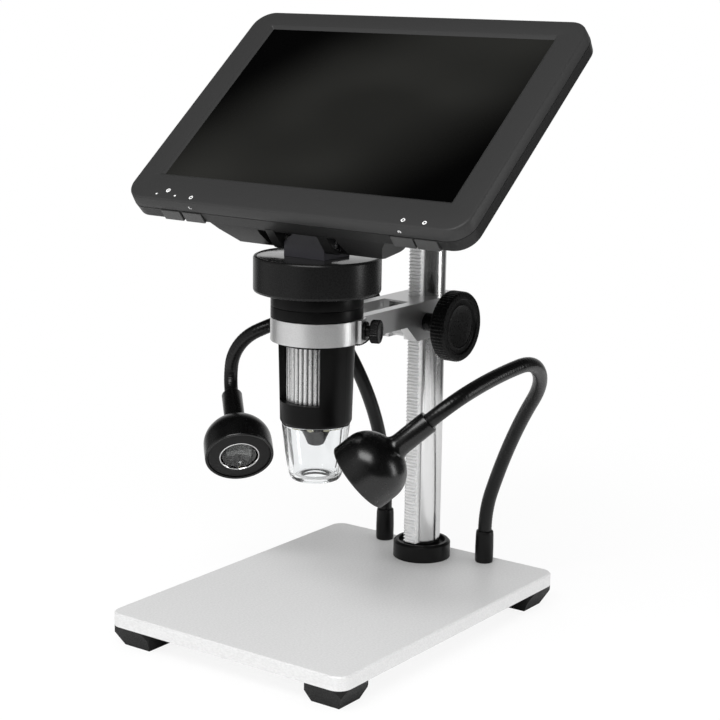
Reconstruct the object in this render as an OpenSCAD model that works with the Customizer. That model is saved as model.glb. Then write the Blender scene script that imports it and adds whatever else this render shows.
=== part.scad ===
// Digital microscope with a leaning LCD monitor on its head, a rack-and-pinion
// column, an aluminium stage plate and two gooseneck lamps.
// Millimetres. The origin is on the stage plate's top face, on the optical axis.
// X runs to the right, Y to the back, Z up.

/* [Stage] */
// Width of the stage plate
plate_w = 126; // [112:2:160]
// From the optical axis to the plate's front edge
plate_front = 64.5; // [50:0.5:90]
// From the column's axis to the plate's back edge
plate_back = 18.5; // [18:0.5:30]
// Thickness of the stage plate
plate_t = 6; // [5:0.5:10]
// Radius of the plate's corners
plate_corner = 6; // [3:0.5:10]
// Chamfer along the plate's top edge
plate_chamfer = 0.6; // [0.3:0.1:1.5]
// Width of a foot where it meets the plate
foot_w = 22; // [18:1:28]
// Height of a foot
foot_h = 9.5; // [8:0.5:16]
// How far a foot's outer sides come in towards the table
foot_in = 5; // [2:0.5:6]
// Radius of a foot screw's thread
foot_screw_r = 1.9; // [1.5:0.1:2.5]

/* [Column] */
// From the optical axis to the column's axis
column_y = 85; // [80:1:110]
// Radius of the column rod
rod_r = 8.5; // [7.5:0.25:10]
// Height of the column above the stage
column_h = 190; // [180:5:260]
// Radius of the collar at the column's foot
collar_r = 13.6; // [12:0.2:18]
// Height of that collar
collar_h = 8.2; // [6:0.2:14]
// Width of the rack
rack_w = 6; // [5:0.25:6.5]
// From the rod's axis to the rack's seat
rack_seat = 6.8; // [6:0.1:7]
// Thickness of the rack, from its seat to the tips of its teeth
rack_t = 4.5; // [4:0.1:6]
// Radius of the bolt that holds the rod from below
bolt_r = 2.95; // [2.4:0.05:3.5]

/* [Focus drive] */
// Height of the arm's top face above the stage, at rest
arm_top = 127.5; // [122:0.5:140]
// Height of the arm and of its ring clamp
arm_h = 10; // [8:0.5:12]
// How much higher the ring clamp sits than the arm
ring_up = 1.3; // [0.5:0.1:2]
// Width of the arm
arm_w = 24; // [24:0.5:30]
// Thickness of each side of the arm
arm_wall = 5; // [4:0.5:6.5]
// How much lower the block round the rod reaches than the arm
block_drop = 7.5; // [6:0.5:14]
// From the column's axis to the block's back
block_back = 13; // [12:0.5:18]
// From the column's axis to the front of the block's lower part
block_front = 25.6; // [24:0.2:30]
// Radial thickness of the ring clamp
ring_wall = 3.3; // [3:0.05:5]
// Module of the rack's and the pinion's teeth
tooth_module = 0.5; // [0.4:0.05:0.55]
// Number of teeth on the pinion
pinion_teeth = 30; // [26:2:30]
// Radius of the pinion shaft
shaft_r = 2.5; // [2:0.1:3]
// Radius of the focus knobs
knob_r = 15.9; // [14:0.1:18]
// Thickness of a knob's disc
knob_t = 7.2; // [4.6:0.2:8]
// From the middle of the arm to the inner face of a knob's disc
knob_x = 24; // [20:0.1:28]
// Radius of a knob's hub
knob_hub_r = 4.2; // [3.8:0.1:6]
// Radius of the clamp screw's thread
clamp_screw_r = 2; // [1.5:0.1:2.5]
// Radius of the clamp screw's knurled head
clamp_head_r = 5.1; // [4.6:0.1:6]
// Angle of the clamp screw round the ring, from the right
clamp_angle = 20; // [18:1:30]

/* [Optical head] */
// Radius of the barrel where the ring clamp holds it
barrel_r = 16.6; // [16:0.1:18]
// Radius of the barrel at its lower end
barrel_foot_r = 15.6; // [15:0.1:16]
// How far the barrel reaches below the ring clamp
barrel_drop = 36.4; // [35:0.1:42]
// Radius of the focus wheel
wheel_r = 13; // [12.6:0.1:13.2]
// Height of the focus wheel
wheel_h = 25; // [22:0.1:26]
// Number of ribs on the focus wheel
wheel_ribs = 36; // [24:2:44]
// Radius of the collar under the head housing
head_collar_r = 19.9; // [18.5:0.1:24]
// Height of the collar under the head housing
head_collar_h = 10.8; // [9:0.1:16]
// Radius of the round head housing
housing_r = 27.4; // [25:0.1:34]
// Height of the round head housing
housing_h = 15.5; // [12:0.1:22]
// Length of the clear cap below the barrel
cap_h = 25; // [20:0.5:30]
// Wall of the clear cap
cap_wall = 1.8; // [1.2:0.1:2.2]
// Radius of the opening at the clear cap's lower end
cap_hole_r = 6; // [4:0.5:7]

/* [Monitor] */
// Angle between the screen and the horizontal
screen_lean = 38.96; // [30:0.01:50]
// Visible width of the display
view_w = 150; // [145:1:165]
// Visible height of the display
view_h = 97.5; // [92:0.5:105]
// Width of the monitor's rim beside the display
rim_side = 14; // [12.5:0.1:18]
// Height of the monitor's rim above the display
rim_high = 11.55; // [11:0.05:15]
// Height of the monitor's rim below the display
rim_low = 16.75; // [15.5:0.05:20]
// Corner radius of the monitor
case_corner = 10; // [7:0.5:14]
// Wall of the monitor's case
case_wall = 2; // [1.6:0.1:2.2]
// Depth of the back cover beside its bulge
back_depth = 6.5; // [6.3:0.1:10]
// Depth of the whole back cover at its bulge
bulge_depth = 21.5; // [21:0.5:26]
// Width of the bulge
bulge_w = 112; // [108:1:120]
// Width of the recess round the tilt hinge
recess_w = 41; // [38:1:50]
// From the monitor's lower edge up to the tilt hinge
hinge_in = 6.8; // [6:0.1:7.5]
// Height of the tilt hinge above the head's lid
hinge_up = 7.6; // [7:0.1:11]
// Radius of the hinge pin
pin_r = 2; // [1.5:0.1:2.4]
// Width of the tilt bracket
bracket_w = 21.4; // [18:0.2:24]
// Thickness of the tilt bracket's upright
bracket_t = 5.6; // [5:0.1:7]
// Width of a push button
button_w = 10.6; // [8:0.2:12]
// How far the push buttons stand proud
button_proud = 0.4; // [0.2:0.1:1]

/* [Lamps] */
// From the middle to each lamp's ferrule
lamp_x = 28.8; // [26:0.2:40]
// From the column's axis back to the ferrules
lamp_back = 10.3; // [8:0.1:11]
// Radius of a ferrule
ferrule_r = 4.35; // [4.2:0.05:6]
// Height of a ferrule
ferrule_h = 15.5; // [12:0.5:24]
// Radius of a gooseneck
neck_r = 3.15; // [2.8:0.05:3.3]
// Radius of a lamp shade's rim
shade_r = 15.7; // [14.5:0.1:18]
// Length of a lamp shade with its socket
shade_len = 38.6; // [37:0.2:44]
// Wall of a lamp shade
shade_wall = 1.2; // [0.8:0.1:1.6]
// Radius of the bright reflector in a lamp
reflector_r = 8.6; // [7:0.1:9.6]

/* [Hidden] */
$fn = 64;

// Clearances
run_gap = 0.05;
face_gap = 0.1;
free_gap = 0.3;
cut = 1;

// Stage and feet
plate_d = plate_front + column_y + plate_back;
plate_mid = (column_y + plate_back - plate_front) / 2;
foot_in_inner = 0.6 * foot_in;
foot_low_w = foot_w - foot_in - foot_in_inner;
foot_lean = (foot_in - foot_in_inner) / 2;
foot_head_r = foot_screw_r * 1.8;
foot_head_h = foot_screw_r * 1.2;
foot_screw_up = plate_t - 1.5;

// Column
rack_side_gap = 0.7;
rack_tip = rack_seat + rack_t;
rack_z0 = collar_h + free_gap;
rack_z1 = column_h - 3;
rod_hole_r = bolt_r + run_gap;
bolt_up = 20;
bolt_head_r = bolt_r + 2;
bolt_head_h = 5;
rack_screw_r = 1.4;
rack_screw_head_r = 2.6;
rack_screw_count = 3;
rack_screw_z0 = collar_h + 22;
rack_screw_pitch = (rack_z1 - 17 - rack_screw_z0) / (rack_screw_count - 1);

// Rack and pinion
pitch = PI * tooth_module;
flank = 20;
backlash = 0.04;
pinion_r = tooth_module * pinion_teeth / 2;
pinion_tip_r = pinion_r + tooth_module;
pinion_root_r = pinion_r - 1.25 * tooth_module;
pinion_base_r = pinion_r * cos(flank);
rack_pitch_line = rack_tip - tooth_module;
pinion_y = column_y - rack_pitch_line - pinion_r;
pinion_below = pinion_tip_r + 1.5;
pinion_z = arm_top - pinion_below;
pinion_w = 7.8;
tooth_first = ceil((rack_z0 + pitch / 2 - pinion_z) / pitch);
tooth_last = floor((rack_z1 - pitch / 2 - pinion_z) / pitch);

// Focus arm
arm_z = arm_top - arm_h;
ring_z = arm_z + ring_up;
ring_bore_r = barrel_r + run_gap;
ring_r = ring_bore_r + ring_wall;
block_z = arm_z - block_drop;
pinion_cavity_w = pinion_w + 2 * free_gap;
pocket_w = arm_w - 2 * arm_wall;
pocket_back = pinion_y - 6.7;
block_slope = 8.1;
clamp_boss_w = 8.4;
clamp_boss_r = ring_r + 1.05;
clamp_slit_w = 2;
clamp_slit_angle = clamp_angle - 15.5;
clamp_pad_r0 = barrel_r + run_gap;
clamp_pad_r1 = clamp_pad_r0 + 1.6;
clamp_hub_r = 4.1;
clamp_head_t = 3.9;
clamp_z = ring_z + arm_h / 2;
knob_bore_gap = 0.02;
shaft_end = knob_x + 0.5 * knob_t;

// Optical head
barrel_z = ring_z - barrel_drop;
head_collar_z = ring_z + arm_h + face_gap;
housing_z = head_collar_z + head_collar_h;
lid_r = housing_r - 1.5;
lid_t = 1.5;
lid_drop = 0.3;
lid_top = housing_z + housing_h - lid_drop;
barrel_bore_r = wheel_r + 0.4;
wheel_top = ring_z - 1.3;
wheel_z = wheel_top - wheel_h;
shelf_z = wheel_z - face_gap;
wheel_bore_r = wheel_r - 3;
carrier_r = wheel_bore_r - face_gap;
carrier_h = 14;
carrier_z = wheel_z + (wheel_h - carrier_h) / 2;
lens_r = carrier_r - 2.2;
retainer_h = 2.6;
retainer_z = wheel_top + face_gap;
board_t = 1.6;
floor_z = barrel_z + 2;
floor_t = 2;
seat_r = barrel_foot_r - 1.65;
nose_r = 6.6;
nose_straight = 5.4;
nose_len = 12;
snout_r = 3.6;
led_count = 8;
led_r = 1.5;
led_ring_r = 9;
cap_top_r = barrel_foot_r - 0.7;
cap_z = barrel_z - cap_h - run_gap;
cap_mid_r = cap_top_r - 1.5;
cap_low_r = cap_top_r - 3.2;

// Tilt bracket and hinge
bracket_y = -9.5;
bracket_foot_t = 2.5;
bracket_foot_d = 18;
bracket_screw_x = bracket_w / 2 - 5.2;
bracket_screw_y = 3.5;
bracket_screw_r = 1.45;
hinge_y = bracket_y + bracket_t / 2;
hinge_z = lid_top + hinge_up;
bracket_top = hinge_up + 5.1;
bracket_bevel_w = 8;
bracket_bevel_h = 6.5;
lug_gap = 0.5;
lug_t = 4.8;
lug_r = pin_r + 2.9;
lug_x0 = bracket_w / 2 + lug_gap;
lug_x1 = lug_x0 + lug_t;
pin_head_r = pin_r + 1.3;
pin_head_t = 1.2;

// Monitor, in its own frame: x across, y up the screen, z out of the screen
bezel_rise = 1.2;
seam_h = -4.5;
case_draft = 1;
lip = 1.5;
hinge_back = 20.9;
case_w = view_w + 2 * rim_side;
case_h = view_h + rim_low + rim_high;
case_shift = (rim_low - rim_high) / 2;
case_low = -view_h / 2 - rim_low;
hinge_down = -case_low - hinge_in;
back_h = seam_h - back_depth;
bulge_h = seam_h - bulge_depth;
bulge_wall_h = back_h - 4.5;
bulge_taper = 13;
cheek_lean = 120.4;
cheek_turn = -47;
bulge_low = case_low + 2;
recess_high = -hinge_down + 18.7;
recess_roof = -hinge_back + 7.9;
recess_wall = 2;
recess_back = 1.8;
notch_w = bracket_w + 1.6;
notch_high = -hinge_down + 2.7;
panel_w = view_w + 12;
panel_h = view_h + 8;
panel_t = 3.2;
post_r = 2.7;
post_x = panel_w / 2 - 1;
post_low = -panel_h / 2 - post_r - 0.35;
post_high = panel_h / 2 + post_r + 0.15;
cover_screw_r = 1.2;
board_w = 84;
board_h = 38;
board_mid = recess_high + recess_wall + 3 + board_h / 2;
bulge_high = board_mid + board_h / 2 + 19;
board_level = bulge_h + case_wall + 12;
board_post_x = board_w / 2 - 4;
battery_w = 58;
battery_h = 34;
battery_t = 8;
button_depth = 3.4;
button_h0 = seam_h - 0.35;
button_h1 = back_h + 0.75;
button_gap = 0.2;
button_travel = 0.8;
button_flange = 1.1;
button_mid = [
  -case_w / 2 + 25.5,
  -case_w / 2 + 37.5,
  case_w / 2 - 31,
  case_w / 2 - 19.5
];
socket_len = 32;
socket_mid = 8;
socket_depth = 13;
usb_v = 18;
card_v = 2;

// Lamps
lamp_y = column_y + lamp_back;
stud_r = 2.4;
stud_h = plate_t - 1;
ferrule_bore_r = neck_r + 0.07;
ferrule_bore_h = 6;
dome_r = neck_r - 0.1;
cup_r = neck_r + 0.15;
band_rise = 0.3;
band_half = 1.1;
band_gap = 0.4;
socket_r = neck_r + 1.6;
socket_bore_r = neck_r + run_gap;
socket_bore_h = 7;
neck_tip = 2.1;
insert_back = 0.6;
insert_t = 1.6;

// Each gooseneck is a run of arcs: length, bend, roll about the neck before the bend
right_steps = [
  [20, 21, -14],
  [60.5, 23.5, -31],
  [32, 40, -62.5],
  [16.5, 39, 17],
  [34, 10.5, 12.5],
  [18.5, 49.5, -33]
];
left_steps = [
  [39.5, 20, -86.5],
  [48, 29, -103],
  [34.5, 75.5, 90],
  [17.5, 51.5, -82.5],
  [22.5, 54, 61],
  [13.5, 70, 73.5]
];

// ---- Shared shapes ----

// A rectangle with round corners
module round_rect(w, d, r) {
  union() {
    square([w - 2 * r, d], center = true);
    square([w, d - 2 * r], center = true);
    for (x = [-1, 1]) {
      for (y = [-1, 1]) {
        translate([x * (w / 2 - r), y * (d / 2 - r)]) circle(r = r);
      }
    }
  }
}

// A plate with round corners
module slab(w, d, r, t) {
  linear_extrude(t) round_rect(w, d, r);
}

// A round-cornered plate whose sides come in by `inset` from bottom to top
module taper_slab(w, d, r, t, inset) {
  union() {
    translate([0, d / 2 - r, 0])
      rotate([90, 0, 0])
        linear_extrude(d - 2 * r)
          polygon([[-w / 2, 0], [w / 2, 0], [w / 2 - inset, t], [-w / 2 + inset, t]]);
    translate([-w / 2 + r, 0, 0])
      rotate([90, 0, 90])
        linear_extrude(w - 2 * r)
          polygon([[-d / 2, 0], [d / 2, 0], [d / 2 - inset, t], [-d / 2 + inset, t]]);
    for (x = [-1, 1]) {
      for (y = [-1, 1]) {
        translate([x * (w / 2 - r), y * (d / 2 - r), 0])
          cylinder(r1 = r, r2 = r - inset, h = t);
      }
    }
  }
}

// A four-sided block with sloping sides: x0, x1 and y0, y1 low, then high
module frustum(low, high, h) {
  x0 = min(low[0], high[0]) - cut;
  x1 = max(low[1], high[1]) + cut;
  y0 = min(low[2], high[2]) - cut;
  y1 = max(low[3], high[3]) + cut;
  intersection() {
    translate([0, y1, 0])
      rotate([90, 0, 0])
        linear_extrude(y1 - y0)
          polygon([[low[0], 0], [low[1], 0], [high[1], h], [high[0], h]]);
    translate([x0, 0, 0])
      rotate([90, 0, 90])
        linear_extrude(x1 - x0)
          polygon([[low[2], 0], [low[3], 0], [high[3], h], [high[2], h]]);
  }
}

// A ring or a sleeve
module sleeve(r_out, r_in, h) {
  difference() {
    cylinder(r = r_out, h = h);
    translate([0, 0, -cut]) cylinder(r = r_in, h = h + 2 * cut);
  }
}

// A cylinder along X, from x0 to x1
module rod_x(r, x0, x1) {
  translate([x0, 0, 0]) rotate([0, 90, 0]) cylinder(r = r, h = x1 - x0);
}

// ---- Stage ----

// Centre of the plate
module at_plate() {
  translate([0, plate_mid, 0]) children();
}

// Corner of the plate: sx and sy are -1 or 1
function corner(sx, sy) = [
  sx * (plate_w / 2 - foot_w / 2),
  plate_mid + sy * (plate_d / 2 - foot_w / 2),
  -plate_t
];

module base_plate() {
  color("silver") difference() {
    at_plate() union() {
      translate([0, 0, -plate_t])
        slab(plate_w, plate_d, plate_corner, plate_t - plate_chamfer);
      translate([0, 0, -plate_chamfer])
        taper_slab(plate_w, plate_d, plate_corner, plate_chamfer, plate_chamfer);
    }
    translate([0, column_y, -plate_t - cut])
      cylinder(r = bolt_r + 0.25, h = plate_t + 2 * cut);
    for (sx = [-1, 1]) {
      translate([sx * lamp_x, lamp_y, -stud_h - face_gap])
        cylinder(r = stud_r + run_gap, h = stud_h + cut);
      for (sy = [-1, 1]) {
        translate(corner(sx, sy))
          translate([-sx * foot_lean, -sy * foot_lean, -cut])
            cylinder(r = foot_screw_r + run_gap, h = foot_screw_up + cut + face_gap);
      }
    }
  }
}

// A tapered foot under one corner, with a counterbore for its screw
module foot(sx, sy) {
  w = foot_w / 2;
  lx = [-w + (sx < 0 ? foot_in : foot_in_inner), w - (sx > 0 ? foot_in : foot_in_inner)];
  ly = [-w + (sy < 0 ? foot_in : foot_in_inner), w - (sy > 0 ? foot_in : foot_in_inner)];
  color("black") translate(corner(sx, sy)) difference() {
    intersection() {
      translate([0, 0, -foot_h])
        frustum([lx[0], lx[1], ly[0], ly[1]], [-w, w, -w, w], foot_h);
      translate([0, 0, -foot_h - cut])
        slab(foot_w, foot_w, plate_corner, foot_h + cut);
    }
    translate([-sx * foot_lean, -sy * foot_lean, -foot_h - cut]) {
      cylinder(r = foot_screw_r + 0.15, h = foot_h + 2 * cut);
      cylinder(r = foot_head_r + free_gap, h = foot_h / 2 + cut);
    }
  }
}

module foot_front_left() { foot(-1, -1); }
module foot_front_right() { foot(1, -1); }
module foot_back_left() { foot(-1, 1); }
module foot_back_right() { foot(1, 1); }

module foot_screws() {
  color("dimgray") for (sx = [-1, 1]) {
    for (sy = [-1, 1]) {
      translate(corner(sx, sy)) translate([-sx * foot_lean, -sy * foot_lean, 0])
        difference() {
          union() {
            translate([0, 0, -foot_h / 2])
              cylinder(r = foot_screw_r, h = foot_h / 2 + foot_screw_up);
            translate([0, 0, -foot_h / 2 - foot_head_h])
              cylinder(r = foot_head_r, h = foot_head_h);
          }
          translate([0, 0, -foot_h / 2 - foot_head_h - cut])
            cylinder(r = foot_screw_r * 0.8, h = foot_head_h / 2 + cut, $fn = 6);
        }
    }
  }
}

// ---- Column ----

module column_rod() {
  color("lightgray") translate([0, column_y, 0]) difference() {
    union() {
      cylinder(r = rod_r, h = column_h - 0.8);
      translate([0, 0, column_h - 0.8]) cylinder(r1 = rod_r, r2 = rod_r - 0.8, h = 0.8);
    }
    translate([0, 0, -cut]) cylinder(r = rod_hole_r, h = bolt_up + 2 + cut);
    translate([-rack_w / 2 - rack_side_gap, -rod_r - cut, rack_z0])
      cube([rack_w + 2 * rack_side_gap, rod_r - rack_seat + cut, column_h]);
    for (i = [0 : rack_screw_count - 1]) {
      translate([0, 0, rack_screw_z0 + i * rack_screw_pitch]) rotate([-90, 0, 0]) {
        translate([0, 0, -rod_r - cut]) cylinder(r = rack_screw_r + 0.1, h = 2 * rod_r + 2 * cut);
        translate([0, 0, rod_r - 2.2])
          cylinder(r1 = rack_screw_r + 0.1, r2 = rack_screw_head_r + 0.2, h = 1.4);
        translate([0, 0, rod_r - 0.8]) cylinder(r = rack_screw_head_r + 0.2, h = 0.8 + cut);
      }
    }
  }
}

// Half thickness of a rack tooth, `out` above the pitch line
function rack_half(out) = pitch / 4 - backlash - out * tan(flank);

// Outline of the rack, seen from the right: y and z
rack_points = concat(
  [[column_y - rack_seat, rack_z1], [column_y - rack_seat, rack_z0]],
  [[column_y - rack_tip + 2.25 * tooth_module, rack_z0]],
  [for (k = [tooth_first : tooth_last], c = [0 : 3])
    [
      column_y - rack_tip + (c == 0 || c == 3 ? 2.25 * tooth_module : 0),
      pinion_z + k * pitch
        + (c < 2 ? -1 : 1) * rack_half((c == 0 || c == 3 ? -1.25 : 1) * tooth_module)
    ]
  ],
  [[column_y - rack_tip + 2.25 * tooth_module, rack_z1]]
);

module column_rack() {
  color("gainsboro") difference() {
    translate([-rack_w / 2, 0, 0])
      rotate([90, 0, 90])
        linear_extrude(rack_w) polygon(rack_points);
    for (i = [0 : rack_screw_count - 1]) {
      translate([0, column_y - rack_seat + cut, rack_screw_z0 + i * rack_screw_pitch])
        rotate([90, 0, 0])
          cylinder(r = rack_screw_r + run_gap, h = rack_t - 2 + cut);
    }
  }
}

module rack_screws() {
  color("gray") for (i = [0 : rack_screw_count - 1]) {
    translate([0, column_y, rack_screw_z0 + i * rack_screw_pitch]) rotate([-90, 0, 0])
      difference() {
        union() {
          translate([0, 0, -rack_tip + 2.2])
            cylinder(r = rack_screw_r, h = rack_tip + rod_r - 4.4);
          translate([0, 0, rod_r - 2.2])
            cylinder(r1 = rack_screw_r, r2 = rack_screw_head_r, h = 1.4);
          translate([0, 0, rod_r - 0.8]) cylinder(r = rack_screw_head_r, h = 0.4);
        }
        translate([0, 0, rod_r - 1.4]) cylinder(r = 1, h = 2, $fn = 6);
      }
  }
}

module column_collar() {
  color("black") translate([0, column_y, 0]) difference() {
    rotate_extrude() polygon([
      [rod_r + run_gap, 0],
      [collar_r, 0],
      [collar_r, collar_h - 1],
      [collar_r - 1, collar_h],
      [rod_r + 2.6, collar_h],
      [rod_r + 2.6, collar_h - 1.8],
      [rod_r + run_gap, collar_h - 1.8]
    ]);
  }
}

module column_bolt() {
  color("dimgray") translate([0, column_y, -plate_t]) difference() {
    union() {
      cylinder(r = bolt_r, h = plate_t + bolt_up);
      translate([0, 0, -bolt_head_h]) cylinder(r = bolt_head_r, h = bolt_head_h);
    }
    translate([0, 0, -bolt_head_h - cut])
      cylinder(r = bolt_r, h = bolt_head_h / 2 + cut, $fn = 6);
  }
}

// ---- Focus drive ----

module focus_arm() {
  color("silver") difference() {
    union() {
      translate([0, 0, ring_z]) cylinder(r = ring_r, h = arm_h);
      translate([-arm_w / 2, 0, 0])
        rotate([90, 0, 90])
          linear_extrude(arm_w)
            polygon([
              [ring_bore_r - 4.5, arm_z],
              [column_y - block_front - block_slope, arm_z],
              [column_y - block_front, block_z],
              [column_y + block_back, block_z],
              [column_y + block_back, arm_top],
              [ring_bore_r - 4.5, arm_top]
            ]);
      rotate([0, 0, clamp_angle])
        translate([ring_r - 2, -clamp_boss_w / 2, ring_z])
          cube([clamp_boss_r - ring_r + 2, clamp_boss_w, arm_h]);
    }
    translate([0, 0, arm_z - cut]) cylinder(r = ring_bore_r, h = arm_h + ring_up + 2 * cut);
    // The open space between the ring and the pinion
    difference() {
      translate([-pocket_w / 2, 0, block_z - cut])
        cube([pocket_w, pocket_back, arm_h + block_drop + 2 * cut]);
      translate([0, 0, block_z - 2 * cut])
        cylinder(r = ring_r, h = arm_h + block_drop + 4 * cut);
    }
    // The pinion's cavity, closed by a thin bridge on top
    translate([-pinion_cavity_w / 2, pocket_back - cut, block_z - cut])
      cube([
        pinion_cavity_w,
        column_y - rack_tip + 1.3 - pocket_back + cut,
        pinion_z + pinion_tip_r + 0.5 - block_z + cut
      ]);
    translate([0, pinion_y, pinion_z])
      rod_x(shaft_r + run_gap, -arm_w / 2 - cut, arm_w / 2 + cut);
    // The bore and the slot that run on the rod and its rack
    translate([0, column_y, block_z - cut]) {
      cylinder(r = rod_r + run_gap, h = arm_h + block_drop + 2 * cut);
      translate([-rack_w / 2 - 0.2, -rack_tip - free_gap, 0])
        cube([rack_w + 0.4, rack_tip, arm_h + block_drop + 2 * cut]);
    }
    // The ring's slit and the clamp screw's hole
    rotate([0, 0, clamp_slit_angle])
      translate([ring_bore_r - cut, -clamp_slit_w / 2, ring_z - cut])
        cube([ring_wall + 2 * cut, clamp_slit_w, arm_h + 2 * cut]);
    rotate([0, 0, clamp_angle])
      translate([0, 0, clamp_z])
        rod_x(clamp_screw_r + run_gap, ring_bore_r - cut, clamp_boss_r + cut);
  }
}

// Involute of the pinion's base circle, in degrees
function inv(r) = tan(acos(pinion_base_r / r)) * 180 / PI - acos(pinion_base_r / r);
// Half the angle of a pinion tooth at radius r
function tooth_half(r) =
  (pitch / 4 - backlash) / pinion_r * 180 / PI + inv(pinion_r) - inv(max(r, pinion_base_r));
function polar(r, a) = [r * cos(a), r * sin(a)];

// Radii at which a tooth's flank is drawn
flank_r = [
  pinion_root_r,
  pinion_base_r,
  pinion_base_r + (pinion_tip_r - pinion_base_r) / 3,
  pinion_base_r + (pinion_tip_r - pinion_base_r) * 2 / 3,
  pinion_tip_r
];

module pinion_shaft() {
  color("gainsboro") translate([0, pinion_y, pinion_z]) union() {
    translate([-pinion_w / 2, 0, 0])
      rotate([90, 0, 90])
        linear_extrude(pinion_w)
          polygon([
            for (k = [0 : pinion_teeth - 1], s = [0 : 9])
              let (
                i = s < 5 ? s : 9 - s,
                side = s < 5 ? -1 : 1,
                mid = (k + 0.5) * 360 / pinion_teeth
              )
                polar(flank_r[i], mid + side * tooth_half(flank_r[i]))
          ]);
    rod_x(shaft_r, -shaft_end, shaft_end);
  }
}

// A focus knob on the right side: a hub and a dished, knurled disc
module focus_knob() {
  hub_x = arm_w / 2 + free_gap;
  face = knob_x + knob_t;
  color("black") translate([0, pinion_y, pinion_z]) difference() {
    rotate([0, 90, 0]) rotate_extrude() polygon([
      [shaft_r + knob_bore_gap, hub_x],
      [knob_hub_r, hub_x],
      [knob_hub_r, knob_x],
      [knob_r - 0.6, knob_x],
      [knob_r, knob_x + 0.6],
      [knob_r, face - 0.8],
      [knob_r - 0.6, face],
      [knob_r - 3.3, face],
      [knob_r - 3.7, face - 1],
      [knob_r - 5.9, face - 1.1],
      [knob_r - 6.2, face - 1.4],
      [0, face - 1.8],
      [0, shaft_end + face_gap],
      [shaft_r + knob_bore_gap, shaft_end + face_gap]
    ]);
    for (a = [0 : 7.5 : 359]) {
      rotate([a, 0, 0]) translate([0, knob_r + 0.15, 0]) rod_x(0.55, knob_x - cut, face + cut);
    }
  }
}

module focus_knob_right() { focus_knob(); }
module focus_knob_left() { mirror([1, 0, 0]) focus_knob(); }

// Where the clamp screw lies: x outwards from the optical axis
module at_clamp() {
  rotate([0, 0, clamp_angle]) translate([0, 0, clamp_z]) children();
}

module clamp_screw() {
  head_r0 = clamp_boss_r + 3.4;
  color("black") at_clamp() difference() {
    union() {
      rod_x(clamp_screw_r, clamp_pad_r1 + run_gap, head_r0);
      rod_x(clamp_hub_r, clamp_boss_r + face_gap, clamp_boss_r + 1.4);
      rod_x(clamp_screw_r + 0.5, clamp_boss_r + 1, head_r0 + 0.5);
      rod_x(clamp_head_r, head_r0, head_r0 + clamp_head_t);
    }
    for (a = [0 : 30 : 359]) {
      rotate([a, 0, 0]) translate([0, clamp_head_r + 0.6, 0])
        rod_x(0.9, head_r0 - cut, head_r0 + clamp_head_t + cut);
    }
  }
}

module clamp_pad() {
  color("goldenrod") at_clamp() rod_x(clamp_screw_r - 0.05, clamp_pad_r0 + 0.02, clamp_pad_r1);
}

// ---- Optical head ----

module barrel_shell() {
  low_round = 1.6;
  color("black") difference() {
    rotate_extrude() polygon(concat(
      [for (a = [0 : 15 : 90])
        [
          barrel_foot_r - low_round + low_round * sin(a),
          barrel_z + low_round - low_round * cos(a)
        ]
      ],
      [
        [barrel_r - 0.1, ring_z - 0.6],
        [barrel_r, ring_z - 0.5],
        [barrel_r, housing_z],
        [barrel_bore_r, housing_z],
        [barrel_bore_r, shelf_z],
        [carrier_r + 0.5, shelf_z],
        [carrier_r + 0.5, floor_z + floor_t],
        [nose_r - 1.4, floor_z + floor_t],
        [nose_r - 1.4, floor_z],
        [seat_r, floor_z],
        [seat_r, barrel_z]
      ]
    ));
    // The window that the focus wheel shows in, facing the user
    translate([0, 0, shelf_z])
      linear_extrude(ring_z - 1.4 - shelf_z)
        polygon([
          [0, 0],
          polar(2 * barrel_r, -133),
          [0, -3 * barrel_r],
          polar(2 * barrel_r, -47)
        ]);
  }
}

module focus_wheel() {
  color("dimgray") translate([0, 0, wheel_z]) difference() {
    sleeve(wheel_r, wheel_bore_r, wheel_h);
    for (i = [0 : wheel_ribs - 1]) {
      rotate([0, 0, i * 360 / wheel_ribs])
        translate([wheel_r + 0.1, 0, -cut])
          cylinder(r = 0.65, h = wheel_h + 2 * cut);
    }
  }
}

module wheel_retainer() {
  color("black") translate([0, 0, retainer_z])
    sleeve(barrel_bore_r - run_gap, wheel_bore_r - 1, retainer_h);
}

module lens_carrier() {
  color("gray") translate([0, 0, carrier_z]) difference() {
    cylinder(r = carrier_r, h = carrier_h);
    translate([0, 0, -cut]) cylinder(r = lens_r - 1.2, h = carrier_h + 2 * cut);
    translate([0, 0, 3]) cylinder(r = lens_r + run_gap, h = carrier_h);
  }
}

module objective_lens() {
  bulge_r = 22;
  half = 2.6;
  color("lightblue") translate([0, 0, carrier_z + 3 + half + 0.6]) intersection() {
    translate([0, 0, -10]) cylinder(r = lens_r, h = 20);
    translate([0, 0, bulge_r - half]) sphere(r = bulge_r);
    translate([0, 0, half - bulge_r]) sphere(r = bulge_r);
  }
}

module sensor_board() {
  color("darkgreen") translate([0, 0, retainer_z + retainer_h]) union() {
    cylinder(r = barrel_bore_r - 0.3, h = board_t);
    translate([-4, -4, -1.4]) cube([8, 8, 1.5]);
    translate([-3, 5, board_t]) cube([6, 4, 2.5]);
  }
}

module lens_nose() {
  color("black") difference() {
    rotate_extrude() polygon([
      [nose_r - 1.6, floor_z],
      [nose_r, floor_z],
      [nose_r, floor_z - nose_straight],
      [nose_r - 1.6, floor_z - nose_len + 3.6],
      [snout_r, floor_z - nose_len + 0.6],
      [snout_r - 1, floor_z - nose_len],
      [snout_r - 1.8, floor_z - nose_len],
      [snout_r - 1.8, floor_z - nose_len + 4],
      [nose_r - 1.6, floor_z - nose_straight + 1]
    ]);
    for (a = [0 : 30 : 359]) {
      rotate([0, 0, a]) translate([nose_r + 0.5, 0, floor_z - nose_straight - 3])
        cylinder(r = 0.85, h = nose_straight);
    }
  }
}

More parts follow.
